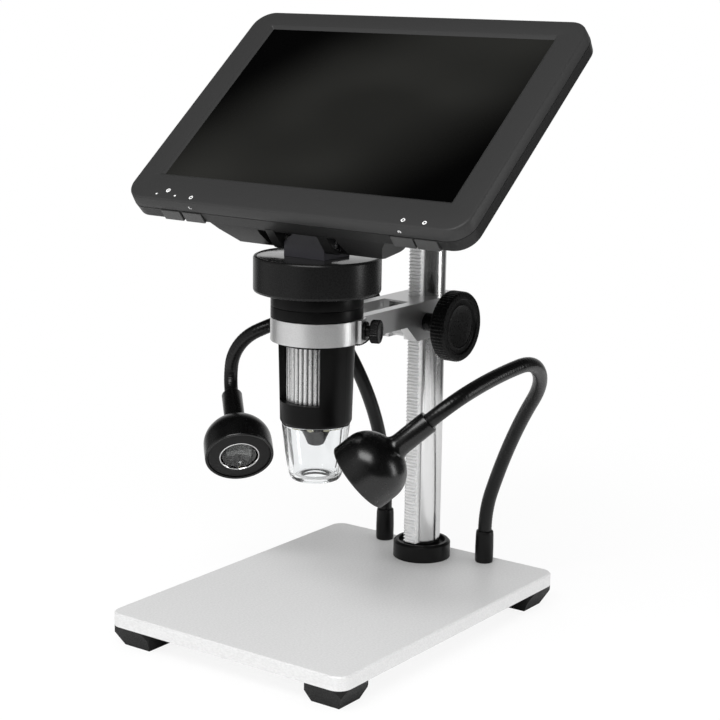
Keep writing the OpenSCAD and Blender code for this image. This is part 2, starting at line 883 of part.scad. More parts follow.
module led_ring_board() {
  color("white") translate([0, 0, floor_z - 1.5])
    sleeve(seat_r - 1.65, nose_r + 0.2, 1.5);
}

module ring_leds() {
  color("ivory") for (i = [0 : led_count - 1]) {
    rotate([0, 0, (i + 0.5) * 360 / led_count])
      translate([led_ring_r, 0, floor_z - 1.5]) union() {
        translate([0, 0, -1.7]) cylinder(r = led_r, h = 1.7);
        translate([0, 0, -1.7]) sphere(r = led_r - 0.05);
      }
  }
}

module clear_cap() {
  top = barrel_z - run_gap;
  color([0.85, 0.93, 0.97, 0.4]) rotate_extrude() polygon([
    [seat_r - run_gap, floor_z - 0.1],
    [seat_r - run_gap, top],
    [cap_top_r, top],
    [cap_top_r - 0.8, cap_z + cap_h * 0.746],
    [cap_mid_r, cap_z + cap_h * 0.506],
    [cap_top_r - 2.4, cap_z + cap_h * 0.266],
    [cap_low_r, cap_z + cap_h * 0.106],
    [cap_low_r - 0.5, cap_z + cap_h * 0.042],
    [cap_low_r - 1.4, cap_z],
    [cap_hole_r, cap_z],
    [cap_hole_r, cap_z + cap_wall],
    [cap_low_r - cap_wall - 1, cap_z + cap_wall],
    [cap_low_r - cap_wall, cap_z + cap_wall + 1.6],
    [cap_mid_r - cap_wall, cap_z + cap_h * 0.506],
    [cap_top_r - cap_wall, top - 1],
    [seat_r - run_gap - 1.2, top],
    [seat_r - run_gap - 1.2, floor_z - 0.1]
  ]);
}

module head_collar() {
  mid = head_collar_z + head_collar_h * 0.47;
  color("black") rotate_extrude() polygon([
    [barrel_r + run_gap, head_collar_z],
    [head_collar_r - 0.5, head_collar_z],
    [head_collar_r, head_collar_z + 0.5],
    [head_collar_r, mid - 0.2],
    [head_collar_r - 0.4, mid - 0.2],
    [head_collar_r - 0.4, mid + 0.2],
    [head_collar_r, mid + 0.2],
    [head_collar_r, housing_z],
    [barrel_r + run_gap, housing_z]
  ]);
}

module at_bracket_screws() {
  for (sx = [-1, 1]) {
    translate([sx * bracket_screw_x, bracket_screw_y, 0]) children();
  }
}

module head_housing() {
  top = housing_z + housing_h;
  color("black") difference() {
    union() {
      rotate_extrude() polygon([
        [0, housing_z],
        [housing_r - 1.2, housing_z],
        [housing_r - 0.35, housing_z + 0.35],
        [housing_r, housing_z + 1.2],
        [housing_r, top - 1],
        [housing_r - 0.3, top - 0.3],
        [housing_r - 1, top],
        [lid_r + face_gap, top],
        [lid_r + face_gap, lid_top - lid_t],
        [lid_r - 1.5, lid_top - lid_t],
        [lid_r - 1.5, housing_z + 3],
        [0, housing_z + 3]
      ]);
      at_bracket_screws()
        translate([0, 0, housing_z + 1])
          cylinder(r = bracket_screw_r + 2, h = lid_top - lid_t - housing_z - 1);
    }
    translate([0, 0, housing_z - cut]) cylinder(r = 4, h = 5);
    at_bracket_screws()
      translate([0, 0, lid_top - lid_t - 9])
        cylinder(r = bracket_screw_r + run_gap, h = 10);
  }
}

module head_lid() {
  color([0.08, 0.08, 0.09]) translate([0, 0, lid_top - lid_t]) difference() {
    cylinder(r = lid_r, h = lid_t);
    at_bracket_screws() translate([0, 0, -cut])
      cylinder(r = bracket_screw_r + 0.15, h = lid_t + 2 * cut);
  }
}

module tilt_bracket() {
  half = bracket_w / 2;
  color([0.2, 0.21, 0.23]) translate([0, 0, lid_top]) difference() {
    union() {
      translate([0, bracket_y + bracket_t, 0]) rotate([90, 0, 0]) linear_extrude(bracket_t)
        polygon([
          [-half, 0],
          [half, 0],
          [half, bracket_top - bracket_bevel_h],
          [half - bracket_bevel_w, bracket_top],
          [-half + bracket_bevel_w, bracket_top],
          [-half, bracket_top - bracket_bevel_h]
        ]);
      translate([-half, bracket_y, 0]) cube([bracket_w, bracket_foot_d, bracket_foot_t]);
    }
    translate([0, hinge_y, hinge_up]) rod_x(pin_r + 0.02, -half - cut, half + cut);
    at_bracket_screws() translate([0, 0, -cut])
      cylinder(r = bracket_screw_r + 0.15, h = bracket_foot_t + 2 * cut);
  }
}

module bracket_screws() {
  color("silver") at_bracket_screws() difference() {
    union() {
      translate([0, 0, lid_top - lid_t - 8])
        cylinder(r = bracket_screw_r, h = 8 + lid_t + bracket_foot_t);
      translate([0, 0, lid_top + bracket_foot_t]) cylinder(r = bracket_screw_r + 1.2, h = 1.6);
    }
    translate([0, 0, lid_top + bracket_foot_t + 0.7]) cylinder(r = 1.2, h = 2, $fn = 6);
  }
}

module hinge_pin() {
  color("silver") translate([0, hinge_y, hinge_z]) union() {
    rod_x(pin_r, -lug_x1 - face_gap, lug_x1 + face_gap);
    rod_x(pin_head_r, lug_x1 + face_gap, lug_x1 + face_gap + pin_head_t);
    rod_x(pin_head_r, -lug_x1 - face_gap - pin_head_t, -lug_x1 - face_gap);
  }
}

// ---- Monitor ----

// From the monitor's own frame to the microscope's
module in_monitor() {
  translate([0, hinge_y, hinge_z])
    rotate([screen_lean, 0, 0])
      translate([0, hinge_down, hinge_back])
        children();
}

// Middle of the case's outline
module case_centre() {
  translate([0, -case_shift, 0]) children();
}

// Places of the four case screws
module at_posts() {
  for (sx = [-1, 1]) {
    translate([sx * post_x, post_low, 0]) children();
    translate([sx * post_x, post_high, 0]) children();
  }
}

module front_bezel() {
  inner = case_draft + case_wall;
  mid_h = bezel_rise - 0.8;
  color([0.16, 0.17, 0.18]) in_monitor() difference() {
    union() {
      difference() {
        case_centre() union() {
          translate([0, 0, seam_h])
            taper_slab(case_w, case_h, case_corner, mid_h - seam_h, case_draft * 0.6);
          translate([0, 0, mid_h])
            taper_slab(
              case_w - case_draft * 1.2,
              case_h - case_draft * 1.2,
              case_corner - case_draft * 0.6,
              bezel_rise - mid_h,
              case_draft * 0.5
            );
        }
        case_centre() translate([0, 0, seam_h - cut])
          slab(case_w - 2 * inner, case_h - 2 * inner, case_corner - inner, cut - seam_h);
      }
      at_posts() translate([0, 0, seam_h]) cylinder(r = post_r, h = 0.5 - seam_h);
    }
    translate([0, 0, -run_gap])
      frustum(
        [-view_w / 2, view_w / 2, -view_h / 2, view_h / 2],
        [-view_w / 2 - lip, view_w / 2 + lip, -view_h / 2 - lip, view_h / 2 + lip],
        bezel_rise + 2 * run_gap
      );
    at_posts() translate([0, 0, seam_h - cut])
      cylinder(r = cover_screw_r + run_gap, h = cut - seam_h - 0.6);
  }
}

// Section of the bulge across the monitor, drawn in by `i`
function bulge_side(sx, i) = [
  [sx * (bulge_w / 2 - i), back_h + 2],
  [sx * (bulge_w / 2 - i), back_h - 1 + 0.3 * i],
  [sx * (bulge_w / 2 - 5.5 - i), bulge_h + 6.2 + 0.35 * i],
  [sx * (bulge_w / 2 - bulge_taper + 1.5 - 0.9 * i), bulge_h + 0.8 + 0.75 * i],
  [sx * (bulge_w / 2 - bulge_taper - 0.7 * i), bulge_h + i]
];
function bulge_across(i) = concat(
  bulge_side(-1, i),
  [for (k = [4 : -1 : 0]) bulge_side(1, i)[k]]
);

// Section of the bulge up the monitor, drawn in by `i`
function bulge_along(i) = [
  [bulge_low + i, back_h + 2],
  [bulge_low + i, back_h],
  [bulge_low + 0.2 + i, bulge_wall_h + 0.1 * i],
  [bulge_low + 2.7 + i, bulge_h + 1 + 0.3 * i],
  [bulge_low + 4 + 0.5 * i, bulge_h + i],
  [bulge_high - 12 - 0.4 * i, bulge_h + i],
  [bulge_high - i, back_h],
  [bulge_high - i, back_h + 2]
];

// What the sloping lower corner leaves out of the bulge's right side
module cheek(i) {
  translate([bulge_w / 2 - bulge_taper, bulge_low + 0.2, bulge_wall_h])
    rotate([0, cheek_lean, cheek_turn])
      translate([-bulge_w, -bulge_w, -i])
        cube([2 * bulge_w, 2 * bulge_w, bulge_w]);
}

module bulge(i) {
  difference() {
    intersection() {
      translate([0, case_h, 0])
        rotate([90, 0, 0])
          linear_extrude(2 * case_h) polygon(bulge_across(i));
      translate([-bulge_w, 0, 0])
        rotate([90, 0, 90])
          linear_extrude(2 * bulge_w) polygon(bulge_along(i));
    }
    cheek(i);
    mirror([1, 0, 0]) cheek(i);
  }
}

module back_cover() {
  side_t = back_depth - 1;
  color([0.13, 0.14, 0.15]) in_monitor() difference() {
    union() {
      difference() {
        union() {
          case_centre() mirror([0, 0, 1]) union() {
            translate([0, 0, -seam_h])
              taper_slab(case_w, case_h, case_corner, side_t, 0.5);
            translate([0, 0, -seam_h + side_t])
              taper_slab(case_w - 1, case_h - 1, case_corner - 0.5, back_depth - side_t, 1);
          }
          bulge(0);
        }
        difference() {
          union() {
            case_centre() translate([0, 0, back_h + case_wall - 0.2])
              slab(
                case_w - 2 * case_wall - 1,
                case_h - 2 * case_wall - 1,
                case_corner - case_wall - 0.5,
                back_depth
              );
            bulge(case_wall);
          }
          translate([-recess_w / 2 - recess_wall, bulge_low - 5, bulge_h - cut])
            cube([
              recess_w + 2 * recess_wall,
              recess_high + recess_wall - bulge_low + 5,
              back_h + case_wall - 0.2 - bulge_h + cut
            ]);
        }
      }
      // Screw posts, board posts and the hinge lugs
      at_posts() translate([0, 0, back_h + 0.5]) cylinder(r = post_r + 0.3, h = back_depth - 0.5);
      for (sx = [-1, 1]) {
        for (sy = [-1, 1]) {
          translate([sx * board_post_x, board_mid + sy * (board_h / 2 - 4), bulge_h + cut])
            cylinder(r = 2.4, h = board_level - bulge_h - cut);
        }
      }
    }
    translate([-recess_w / 2, bulge_low - 10, bulge_h + recess_back])
      cube([recess_w, recess_high - bulge_low + 10, recess_roof - bulge_h - recess_back]);
    translate([-notch_w / 2, bulge_low - 10, bulge_h - cut])
      cube([notch_w, notch_high - bulge_low + 10, recess_back + 2 * cut]);
    at_posts() {
      translate([0, 0, back_h - cut]) cylinder(r = cover_screw_r + 0.15, h = back_depth + 2 * cut);
      translate([0, 0, back_h - cut]) cylinder(r = cover_screw_r + 1.4, h = 1.3 + cut);
    }
    for (x = button_mid) {
      translate([x - button_w / 2 - button_gap, case_low - cut, button_h1 - button_gap])
        cube([
          button_w + 2 * button_gap,
          button_depth + 2 * cut,
          button_h0 - button_h1 + 2 * button_gap
        ]);
      translate([
        x - button_w / 2 - button_flange - button_gap,
        case_low + 2.9,
        button_h1 - button_gap
      ])
        cube([
          button_w + 2 * button_flange + 2 * button_gap,
          button_depth,
          button_h0 - button_h1 + 2 * button_gap
        ]);
    }
    // Openings for the sockets in the left side
    translate([-case_w / 2 - cut, usb_v - 4.4, back_h + 2.2])
      cube([case_wall + 3 + cut, 8.8, 3.4]);
    translate([-case_w / 2 - cut, card_v - 6.2, back_h + 2.9])
      cube([case_wall + 3 + cut, 12.4, 2]);
  }
  color([0.13, 0.14, 0.15]) in_monitor() hinge_lugs();
}

// Two lugs that turn on the hinge pin, standing in the recess
module hinge_lugs() {
  for (sx = [-1, 1]) {
    translate([sx * (lug_x0 + lug_t / 2), -hinge_down, -hinge_back]) difference() {
      union() {
        rod_x(lug_r, -lug_t / 2, lug_t / 2);
        translate([-lug_t / 2, -lug_r, 0]) cube([lug_t, 2 * lug_r, recess_roof + hinge_back + 1]);
      }
      rod_x(pin_r + run_gap, -lug_t, lug_t);
    }
  }
}

module lcd_panel() {
  color([0.02, 0.02, 0.025]) in_monitor()
    translate([-panel_w / 2, -panel_h / 2, -run_gap - panel_t])
      cube([panel_w, panel_h, panel_t]);
}

module main_board() {
  color("darkgreen") in_monitor() union() {
    translate([-board_w / 2, board_mid - board_h / 2, board_level])
      cube([board_w, board_h, board_t]);
    translate([-8, board_mid - 8, board_level + board_t]) cube([16, 16, 1.4]);
    translate([18, board_mid - 4, board_level + board_t]) cube([12, 8, 1.2]);
    translate([-34, board_mid - 12, board_level + board_t]) cube([14, 6, 2.4]);
  }
}

module battery_cell() {
  color("slategray") in_monitor()
    translate([-battery_w / 2, board_mid - battery_h / 2, bulge_h + case_wall + run_gap])
      cube([battery_w, battery_h, battery_t]);
}

// A push button in the case's lower side, with a flange away from its neighbour
module button(i) {
  left = i % 2 == 0 ? button_flange : 0;
  color([0.2, 0.21, 0.22]) in_monitor() translate([button_mid[i], case_low, button_h1]) union() {
    translate([-button_w / 2, -button_proud, 0])
      cube([button_w, button_depth + button_proud, button_h0 - button_h1]);
    translate([-button_w / 2 - left, 3, 0])
      cube([button_w + button_flange, button_depth - 3 + 0.6, button_h0 - button_h1]);
  }
}

module button_outer_left() { button(0); }
module button_inner_left() { button(1); }
module button_inner_right() { button(2); }
module button_outer_right() { button(3); }

module cover_screws() {
  color("gray") in_monitor() at_posts() difference() {
    union() {
      translate([0, 0, back_h + 1.3]) cylinder(r = cover_screw_r, h = back_depth + 2);
      translate([0, 0, back_h + 0.2]) cylinder(r = cover_screw_r + 1.2, h = 1.1);
    }
    translate([0, 0, back_h - 0.4]) cylinder(r = 0.8, h = 1.2, $fn = 6);
  }
}

// Socket block behind the left side: a USB inlet and a card slot
module usb_socket() {
  x0 = -case_w / 2 + case_wall + 0.8;
  z0 = back_h + case_wall - 0.1;
  color("silver") in_monitor() difference() {
    translate([x0, socket_mid - socket_len / 2, z0])
      cube([socket_depth, socket_len, seam_h - z0 - 0.2]);
    translate([x0 - cut, usb_v - 3.9, back_h + 2.6]) cube([socket_depth - 3, 7.8, 2.6]);
    translate([x0 - cut, card_v - 5.6, back_h + 3.2]) cube([socket_depth - 1, 11.2, 1.3]);
  }
}

// ---- Lamps ----

module at_lamp(sx) {
  translate([sx * lamp_x, lamp_y, ferrule_h]) children();
}

// To the end of one arc: length, bend, roll
module past_arc(s) {
  br = s[0] / (s[1] * PI / 180);
  rotate([0, 0, s[2]])
    translate([br * (1 - cos(s[1])), 0, br * sin(s[1])])
      rotate([0, s[1], 0])
        children();
}

// To the end of the first n arcs
module past_arcs(steps, n, i = 0) {
  if (i < n) {
    past_arc(steps[i]) past_arcs(steps, n, i + 1) children();
  } else {
    children();
  }
}

// One arc of a gooseneck, less `t0` at its start and `t1` at its end
module neck_arc(s, t0, t1) {
  br = s[0] / (s[1] * PI / 180);
  rotate([0, 0, s[2]])
    translate([br, 0, 0])
      rotate([90, 0, 0])
        rotate([0, 0, 180 - s[1] * (s[0] - t1) / s[0]])
          rotate_extrude(angle = s[1] * (s[0] - t0 - t1) / s[0])
            translate([br, 0])
              circle(r = neck_r);
}

// A band round the neck from z0 to z1, where one arc meets the next
module band(z0, z1) {
  translate([0, 0, z0]) cylinder(r = neck_r + band_rise, h = z1 - z0);
}

// Two arcs that follow each other, with a band where they meet
module neck_pair(a, b, t0) {
  union() {
    neck_arc(a, t0, band_gap);
    past_arc(a) band(-band_half, band_half);
    past_arc(a) neck_arc(b, band_gap, 2 * band_gap);
  }
}

// The lowest length: a tang in the ferrule below, a dome at its upper end
module neck_lower(sx, steps) {
  color("black") at_lamp(sx) union() {
    translate([0, 0, -ferrule_bore_h + 0.5])
      cylinder(r = neck_r, h = ferrule_bore_h - 0.5 + band_gap);
    band(face_gap, 2 * band_half);
    neck_pair(steps[0], steps[1], 2 * band_gap);
    past_arcs(steps, 2) neck_dome();
  }
}

// The dome at the upper end of a length
module neck_dome() {
  union() {
    band(-2 * band_half, -face_gap);
    sphere(r = dome_r);
  }
}

// The middle length: a cup over the dome below it, a dome at its upper end
module neck_middle(sx, steps) {
  color("black") at_lamp(sx) past_arcs(steps, 2) union() {
    difference() {
      neck_pair(steps[2], steps[3], 0);
      sphere(r = cup_r);
    }
    past_arc(steps[2]) past_arc(steps[3]) neck_dome();
  }
}

// The highest length: a cup at its start, a tang in the shade's socket at its end
module neck_upper(sx, steps) {
  color("black") at_lamp(sx) past_arcs(steps, 4) union() {
    difference() {
      neck_pair(steps[4], steps[5], 0);
      sphere(r = cup_r);
    }
    past_arc(steps[4]) past_arc(steps[5]) union() {
      band(-2 * band_half, -face_gap);
      translate([0, 0, -band_gap]) cylinder(r = neck_r, h = neck_tip + socket_bore_h - 0.5);
    }
  }
}

module ferrule(sx) {
  color("black") translate([sx * lamp_x, lamp_y, 0]) difference() {
    union() {
      translate([0, 0, -stud_h]) cylinder(r = stud_r, h = stud_h + cut);
      cylinder(r = ferrule_r, h = ferrule_h - 0.6);
      translate([0, 0, ferrule_h - 0.6]) cylinder(r1 = ferrule_r, r2 = ferrule_r - 0.5, h = 0.6);
    }
    translate([0, 0, ferrule_h - ferrule_bore_h])
      cylinder(r = ferrule_bore_r, h = ferrule_bore_h + cut);
  }
}

// To a lamp's rim: z points back along the lamp towards its socket
module at_rim(sx, steps) {
  at_lamp(sx) past_arcs(steps, 6)
    translate([0, 0, neck_tip + shade_len]) rotate([180, 0, 0]) children();
}

// A point of the shade's outer side: shares of its rim's radius and of its length
function shade_at(r, s) = [shade_r * r, shade_len * s];

// Outer side of the shade, counted back from the rim
shade_outer = [
  shade_at(1, 0),
  shade_at(1, 0.207),
  shade_at(0.982, 0.272),
  shade_at(0.925, 0.337),
  shade_at(0.847, 0.389),
  shade_at(0.729, 0.44),
  shade_at(0.604, 0.479),
  shade_at(0.485, 0.505),
  shade_at(0.414, 0.518),
  [socket_r + 0.95, 0.534 * shade_len],
  [socket_r + 0.35, 0.557 * shade_len],
  [socket_r, 0.588 * shade_len]
];

module shade(sx, steps) {
  color("black") at_rim(sx, steps) rotate_extrude() polygon(concat(
    shade_outer,
    [
      [socket_r, shade_len],
      [socket_bore_r, shade_len],
      [socket_bore_r, shade_len - socket_bore_h],
      [0, shade_len - socket_bore_h],
      [0, 0.6 * shade_len]
    ],
    [for (i = [9 : -1 : 1]) shade_outer[i] - [shade_wall, 0.75 * shade_wall]],
    [[shade_r - shade_wall, 0]]
  ));
}

module insert(sx, steps) {
  color([0.1, 0.1, 0.1]) at_rim(sx, steps) translate([0, 0, insert_back])
    sleeve(shade_r - shade_wall - run_gap, reflector_r + 0.1, insert_t);
}

module reflector(sx, steps) {
  wall = 0.6;
  deep = 8;
  color("silver") at_rim(sx, steps) translate([0, 0, insert_back - 0.5]) rotate_extrude()
    polygon([
      [reflector_r - wall, 0],
      [reflector_r + 0.6, 0],
      [reflector_r + 0.6, 0.45],
      [reflector_r, 0.45],
      [reflector_r, 2],
      [reflector_r * 0.72, deep - 2],
      [reflector_r * 0.4, deep],
      [0, deep],
      [0, deep - wall],
      [reflector_r * 0.4 - 0.3, deep - wall],
      [reflector_r * 0.72 - wall, deep - 2 - wall],
      [reflector_r - wall, 2 - wall / 2]
    ]);
}

module lens(sx, steps) {
  color([0.9, 0.95, 1, 0.4]) at_rim(sx, steps) translate([0, 0, insert_back - 0.2])
    cylinder(r = reflector_r - 0.65, h = 1);
}

module lamp_right_ferrule() { ferrule(1); }
module lamp_right_neck_lower() { neck_lower(1, right_steps); }
module lamp_right_neck_middle() { neck_middle(1, right_steps); }
module lamp_right_neck_upper() { neck_upper(1, right_steps); }
module lamp_right_shade() { shade(1, right_steps); }
module lamp_right_insert() { insert(1, right_steps); }
module lamp_right_reflector() { reflector(1, right_steps); }
module lamp_right_lens() { lens(1, right_steps); }
module lamp_left_ferrule() { ferrule(-1); }
module lamp_left_neck_lower() { neck_lower(-1, left_steps); }
module lamp_left_neck_middle() { neck_middle(-1, left_steps); }
module lamp_left_neck_upper() { neck_upper(-1, left_steps); }
module lamp_left_shade() { shade(-1, left_steps); }
module lamp_left_insert() { insert(-1, left_steps); }
module lamp_left_reflector() { reflector(-1, left_steps); }
module lamp_left_lens() { lens(-1, left_steps); }

base_plate();
foot_front_left();
foot_front_right();
foot_back_left();
foot_back_right();
foot_screws();
column_rod();
column_rack();
rack_screws();
column_collar();
column_bolt();
focus_arm();
pinion_shaft();
focus_knob_right();
focus_knob_left();
clamp_screw();
clamp_pad();
barrel_shell();
focus_wheel();
wheel_retainer();
lens_carrier();
objective_lens();
sensor_board();
lens_nose();
led_ring_board();
ring_leds();
clear_cap();
head_collar();
head_housing();
head_lid();
tilt_bracket();
bracket_screws();
hinge_pin();
front_bezel();
back_cover();
lcd_panel();
main_board();
battery_cell();
button_outer_left();
button_inner_left();
button_inner_right();
button_outer_right();
cover_screws();
usb_socket();
lamp_right_ferrule();
lamp_right_neck_lower();
lamp_right_neck_middle();
lamp_right_neck_upper();
lamp_right_shade();
lamp_right_insert();
lamp_right_reflector();
lamp_right_lens();
lamp_left_ferrule();
lamp_left_neck_lower();
lamp_left_neck_middle();
lamp_left_neck_upper();
lamp_left_shade();
lamp_left_insert();
lamp_left_reflector();
lamp_left_lens();
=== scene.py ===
import math

import bmesh
import bpy
from mathutils import Matrix, Vector


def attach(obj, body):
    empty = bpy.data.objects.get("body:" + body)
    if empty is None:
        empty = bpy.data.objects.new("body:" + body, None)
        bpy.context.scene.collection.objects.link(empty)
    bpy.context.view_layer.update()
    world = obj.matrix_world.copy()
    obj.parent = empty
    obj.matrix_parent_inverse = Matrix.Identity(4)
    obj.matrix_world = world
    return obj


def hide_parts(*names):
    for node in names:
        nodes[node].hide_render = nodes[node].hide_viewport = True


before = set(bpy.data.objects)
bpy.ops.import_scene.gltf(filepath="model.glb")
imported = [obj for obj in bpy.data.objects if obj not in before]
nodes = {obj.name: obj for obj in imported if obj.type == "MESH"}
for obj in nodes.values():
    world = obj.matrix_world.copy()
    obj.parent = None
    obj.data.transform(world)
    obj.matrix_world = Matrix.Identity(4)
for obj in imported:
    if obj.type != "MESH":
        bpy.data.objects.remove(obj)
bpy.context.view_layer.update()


# ---- Camera ----
# A long lens from the front right, a little above the head, with the whole
# microscope in a square picture.

eye = Vector((0.45721, -0.60421, 0.27239))
yaw, pitch, roll = math.radians(35.7015), math.radians(12.1085), math.radians(0.852)
ahead = Vector((-math.sin(yaw) * math.cos(pitch), math.cos(yaw) * math.cos(pitch), -math.sin(pitch)))
level = ahead.cross(Vector((0, 0, 1))).normalized()
upward = level.cross(ahead)
side = level * math.cos(roll) + upward * math.sin(roll)
over = upward * math.cos(roll) - level * math.sin(roll)

lens = bpy.data.cameras.new("camera")
lens.lens = 90.12
lens.sensor_width = 36
lens.clip_start = 0.01
camera = bpy.data.objects.new("camera", lens)
bpy.context.scene.collection.objects.link(camera)
facing = Matrix((side, over, -ahead)).transposed().to_4x4()
camera.matrix_world = Matrix.Translation(eye) @ facing
bpy.context.scene.camera = camera


# ---- Studio ----
# A pale round table that fades into a white room, a wide soft box high in front and
# a tall narrow one low on the right. Metal sees a darker room with two pale walls.

bpy.context.scene.view_settings.view_transform = "Standard"


def wire(tree, start, end):
    """Links one node's output to another's input, each given as (node, socket)."""
    tree.links.new(start[0].outputs[start[1]], end[0].inputs[end[1]])


def feed(tree, value, socket):
    """Gives a socket a number, or links an output to it."""
    if isinstance(value, (int, float)):
        socket.default_value = value
    else:
        tree.links.new(value, socket)


def maths(tree, kind, *values):
    """A Math node over outputs and numbers."""
    node = tree.nodes.new("ShaderNodeMath")
    node.operation = kind
    for value, socket in zip(values, node.inputs):
        feed(tree, value, socket)
    return node.outputs[0]


def ramp(tree, value, low, high, at_low, at_high):
    """A smooth step from at_low to at_high as value runs from low to high."""
    node = tree.nodes.new("ShaderNodeMapRange")
    node.interpolation_type = "SMOOTHSTEP"
    tree.links.new(value, node.inputs["Value"])
    for name, number in (("From Min", low), ("From Max", high), ("To Min", at_low), ("To Max", at_high)):
        node.inputs[name].default_value = number
    return node.outputs[0]


def far_along(tree, spot, direction):
    """How far a place lies along a direction."""
    node = tree.nodes.new("ShaderNodeVectorMath")
    node.operation = "DOT_PRODUCT"
    node.inputs[1].default_value = direction
    tree.links.new(spot, node.inputs[0])
    return node.outputs["Value"]


def seen_rays(tree):
    """1 for rays from the camera or from it straight through glass, and the Light Path node."""
    path = tree.nodes.new("ShaderNodeLightPath")
    straight = maths(tree, "LESS_THAN", path.outputs["Glossy Depth"], 0.5)
    through_glass = maths(tree, "MULTIPLY", path.outputs["Is Transmission Ray"], straight)
    return maths(tree, "MAXIMUM", path.outputs["Is Camera Ray"], through_glass), path


def either(tree, share, first, second):
    """A Mix Shader node that turns from the first node's shader to the second's."""
    node = tree.nodes.new("ShaderNodeMixShader")
    tree.links.new(share, node.inputs[0])
    wire(tree, (first, 0), (node, 1))
    wire(tree, (second, 0), (node, 2))
    return node


def white_light(tree, strength):
    """A white Background node."""
    node = tree.nodes.new("ShaderNodeBackground")
    node.inputs["Color"].default_value = (1, 1, 1, 1)
    feed(tree, strength, node.inputs["Strength"])
    return node


room = bpy.data.worlds.new("room")
bpy.context.scene.world = room
room.use_nodes = True
tree = room.node_tree
tree.nodes.clear()
seen, path = seen_rays(tree)
spot = tree.nodes.new("ShaderNodeTexCoord")
split = tree.nodes.new("ShaderNodeSeparateXYZ")
wire(tree, (spot, "Generated"), (split, 0))
height = split.outputs["Z"]

# A pale wall: its azimuth, the cosines where it starts and is full, its strength
pale_walls = ((-34, 0.5, 0.92, 0.65), (216, 0.6, 0.95, 0.8))
bright = 0.05
for azimuth, start, full, strength in pale_walls:
    toward = (math.sin(math.radians(azimuth)), -math.cos(math.radians(azimuth)), 0)
    nearness = far_along(tree, spot.outputs["Generated"], toward)
    bright = maths(tree, "ADD", ramp(tree, nearness, start, full, 0, strength), bright)
dark_top = ramp(tree, height, low=0.1, high=0.7, at_low=1.0, at_high=0.3)
shiny = white_light(tree, maths(tree, "MULTIPLY", bright, dark_top))
soft = white_light(tree, ramp(tree, height, low=0.0, high=0.9, at_low=1.08, at_high=0.6))
by_gloss = either(tree, path.outputs["Is Glossy Ray"], soft, shiny)
by_sight = either(tree, seen, by_gloss, white_light(tree, 1.0))
out = tree.nodes.new("ShaderNodeOutputWorld")
wire(tree, (by_sight, 0), (out, 0))

table_radius = 0.46
table_middle = Matrix.Translation((0, 0.02, -0.0155))
shape = bmesh.new()
bmesh.ops.create_circle(shape, cap_ends=True, segments=96, radius=table_radius, matrix=table_middle)
table = bpy.data.meshes.new("table")
shape.to_mesh(table)
shape.free()
table_top = bpy.data.objects.new("table_top", table)
bpy.context.scene.collection.objects.link(table_top)

# The table's edge is as white as the room, and its middle keeps the shadow
pale = bpy.data.materials.new("pale_table")
pale.use_nodes = True
tree = pale.node_tree
tree.nodes.clear()
seen, path = seen_rays(tree)
spot = tree.nodes.new("ShaderNodeTexCoord")
reach = tree.nodes.new("ShaderNodeVectorMath")
reach.operation = "LENGTH"
wire(tree, (spot, "Object"), (reach, 0))
lift = ramp(tree, reach.outputs["Value"], low=0.12, high=0.45, at_low=0.88, at_high=1.0)
paint = tree.nodes.new("ShaderNodeBsdfDiffuse")
paint.inputs["Color"].default_value = (0.9, 0.9, 0.9, 1)
glow = tree.nodes.new("ShaderNodeEmission")
glow.inputs["Strength"].default_value = 1.0
shown = either(tree, maths(tree, "MULTIPLY", seen, lift), paint, glow)
out = tree.nodes.new("ShaderNodeOutputMaterial")
wire(tree, (shown, 0), (out, 0))
table.materials.append(pale)


def soft_box(name, azimuth, elevation, distance, size, watts):
    """A rectangular lamp that faces the microscope. Azimuth 0 is in front, 90 on the right."""
    lamp = bpy.data.lights.new(name, "AREA")
    lamp.shape = "RECTANGLE"
    lamp.size, lamp.size_y = size
    lamp.energy = watts
    a, e = math.radians(azimuth), math.radians(elevation)
    away = Vector((math.sin(a) * math.cos(e), -math.cos(a) * math.cos(e), math.sin(e)))
    microscope = Vector((0, 0.03, 0.12))
    box = bpy.data.objects.new(name, lamp)
    bpy.context.scene.collection.objects.link(box)
    facing = away.to_track_quat("Z", "Y").to_matrix().to_4x4()
    box.matrix_world = Matrix.Translation(microscope + away * distance) @ facing


soft_box("key_box", azimuth=14, elevation=46, distance=1.15, size=(0.9, 0.5), watts=11.5)
soft_box("rim_box", azimuth=117, elevation=4, distance=1.25, size=(0.22, 0.6), watts=3.0)


# ---- Stage plate ----
# A milled aluminium plate with round corners and a narrow chamfer, sand-blasted
# and clear anodised. The rod and the lamps' ferrules are fixed in it.


def finish(name, colour, metallic=0.0, roughness=0.5, **values):
    """A new material with its plain values on the shader's own sockets."""
    made = bpy.data.materials.new(name)
    made.use_nodes = True
    made.diffuse_color = (*colour, 1)
    shader = made.node_tree.nodes["Principled BSDF"]
    shader.inputs["Base Color"].default_value = (*colour, 1)
    shader.inputs["Metallic"].default_value = metallic
    shader.inputs["Roughness"].default_value = roughness
    for socket, value in values.items():
        shader.inputs[socket.replace("_", " ")].default_value = value
    return made


def specks(tree, scale, detail):
    """Noise over the piece's own coordinates, which are scaled along each axis first."""
    spot = tree.nodes.new("ShaderNodeTexCoord")
    place = tree.nodes.new("ShaderNodeMapping")
    place.inputs["Scale"].default_value = scale
    wire(tree, (spot, "Object"), (place, 0))
    noise = tree.nodes.new("ShaderNodeTexNoise")
    noise.inputs["Scale"].default_value = 1.0
    noise.inputs["Detail"].default_value = detail
    wire(tree, (place, 0), (noise, "Vector"))
    return noise.outputs[0]


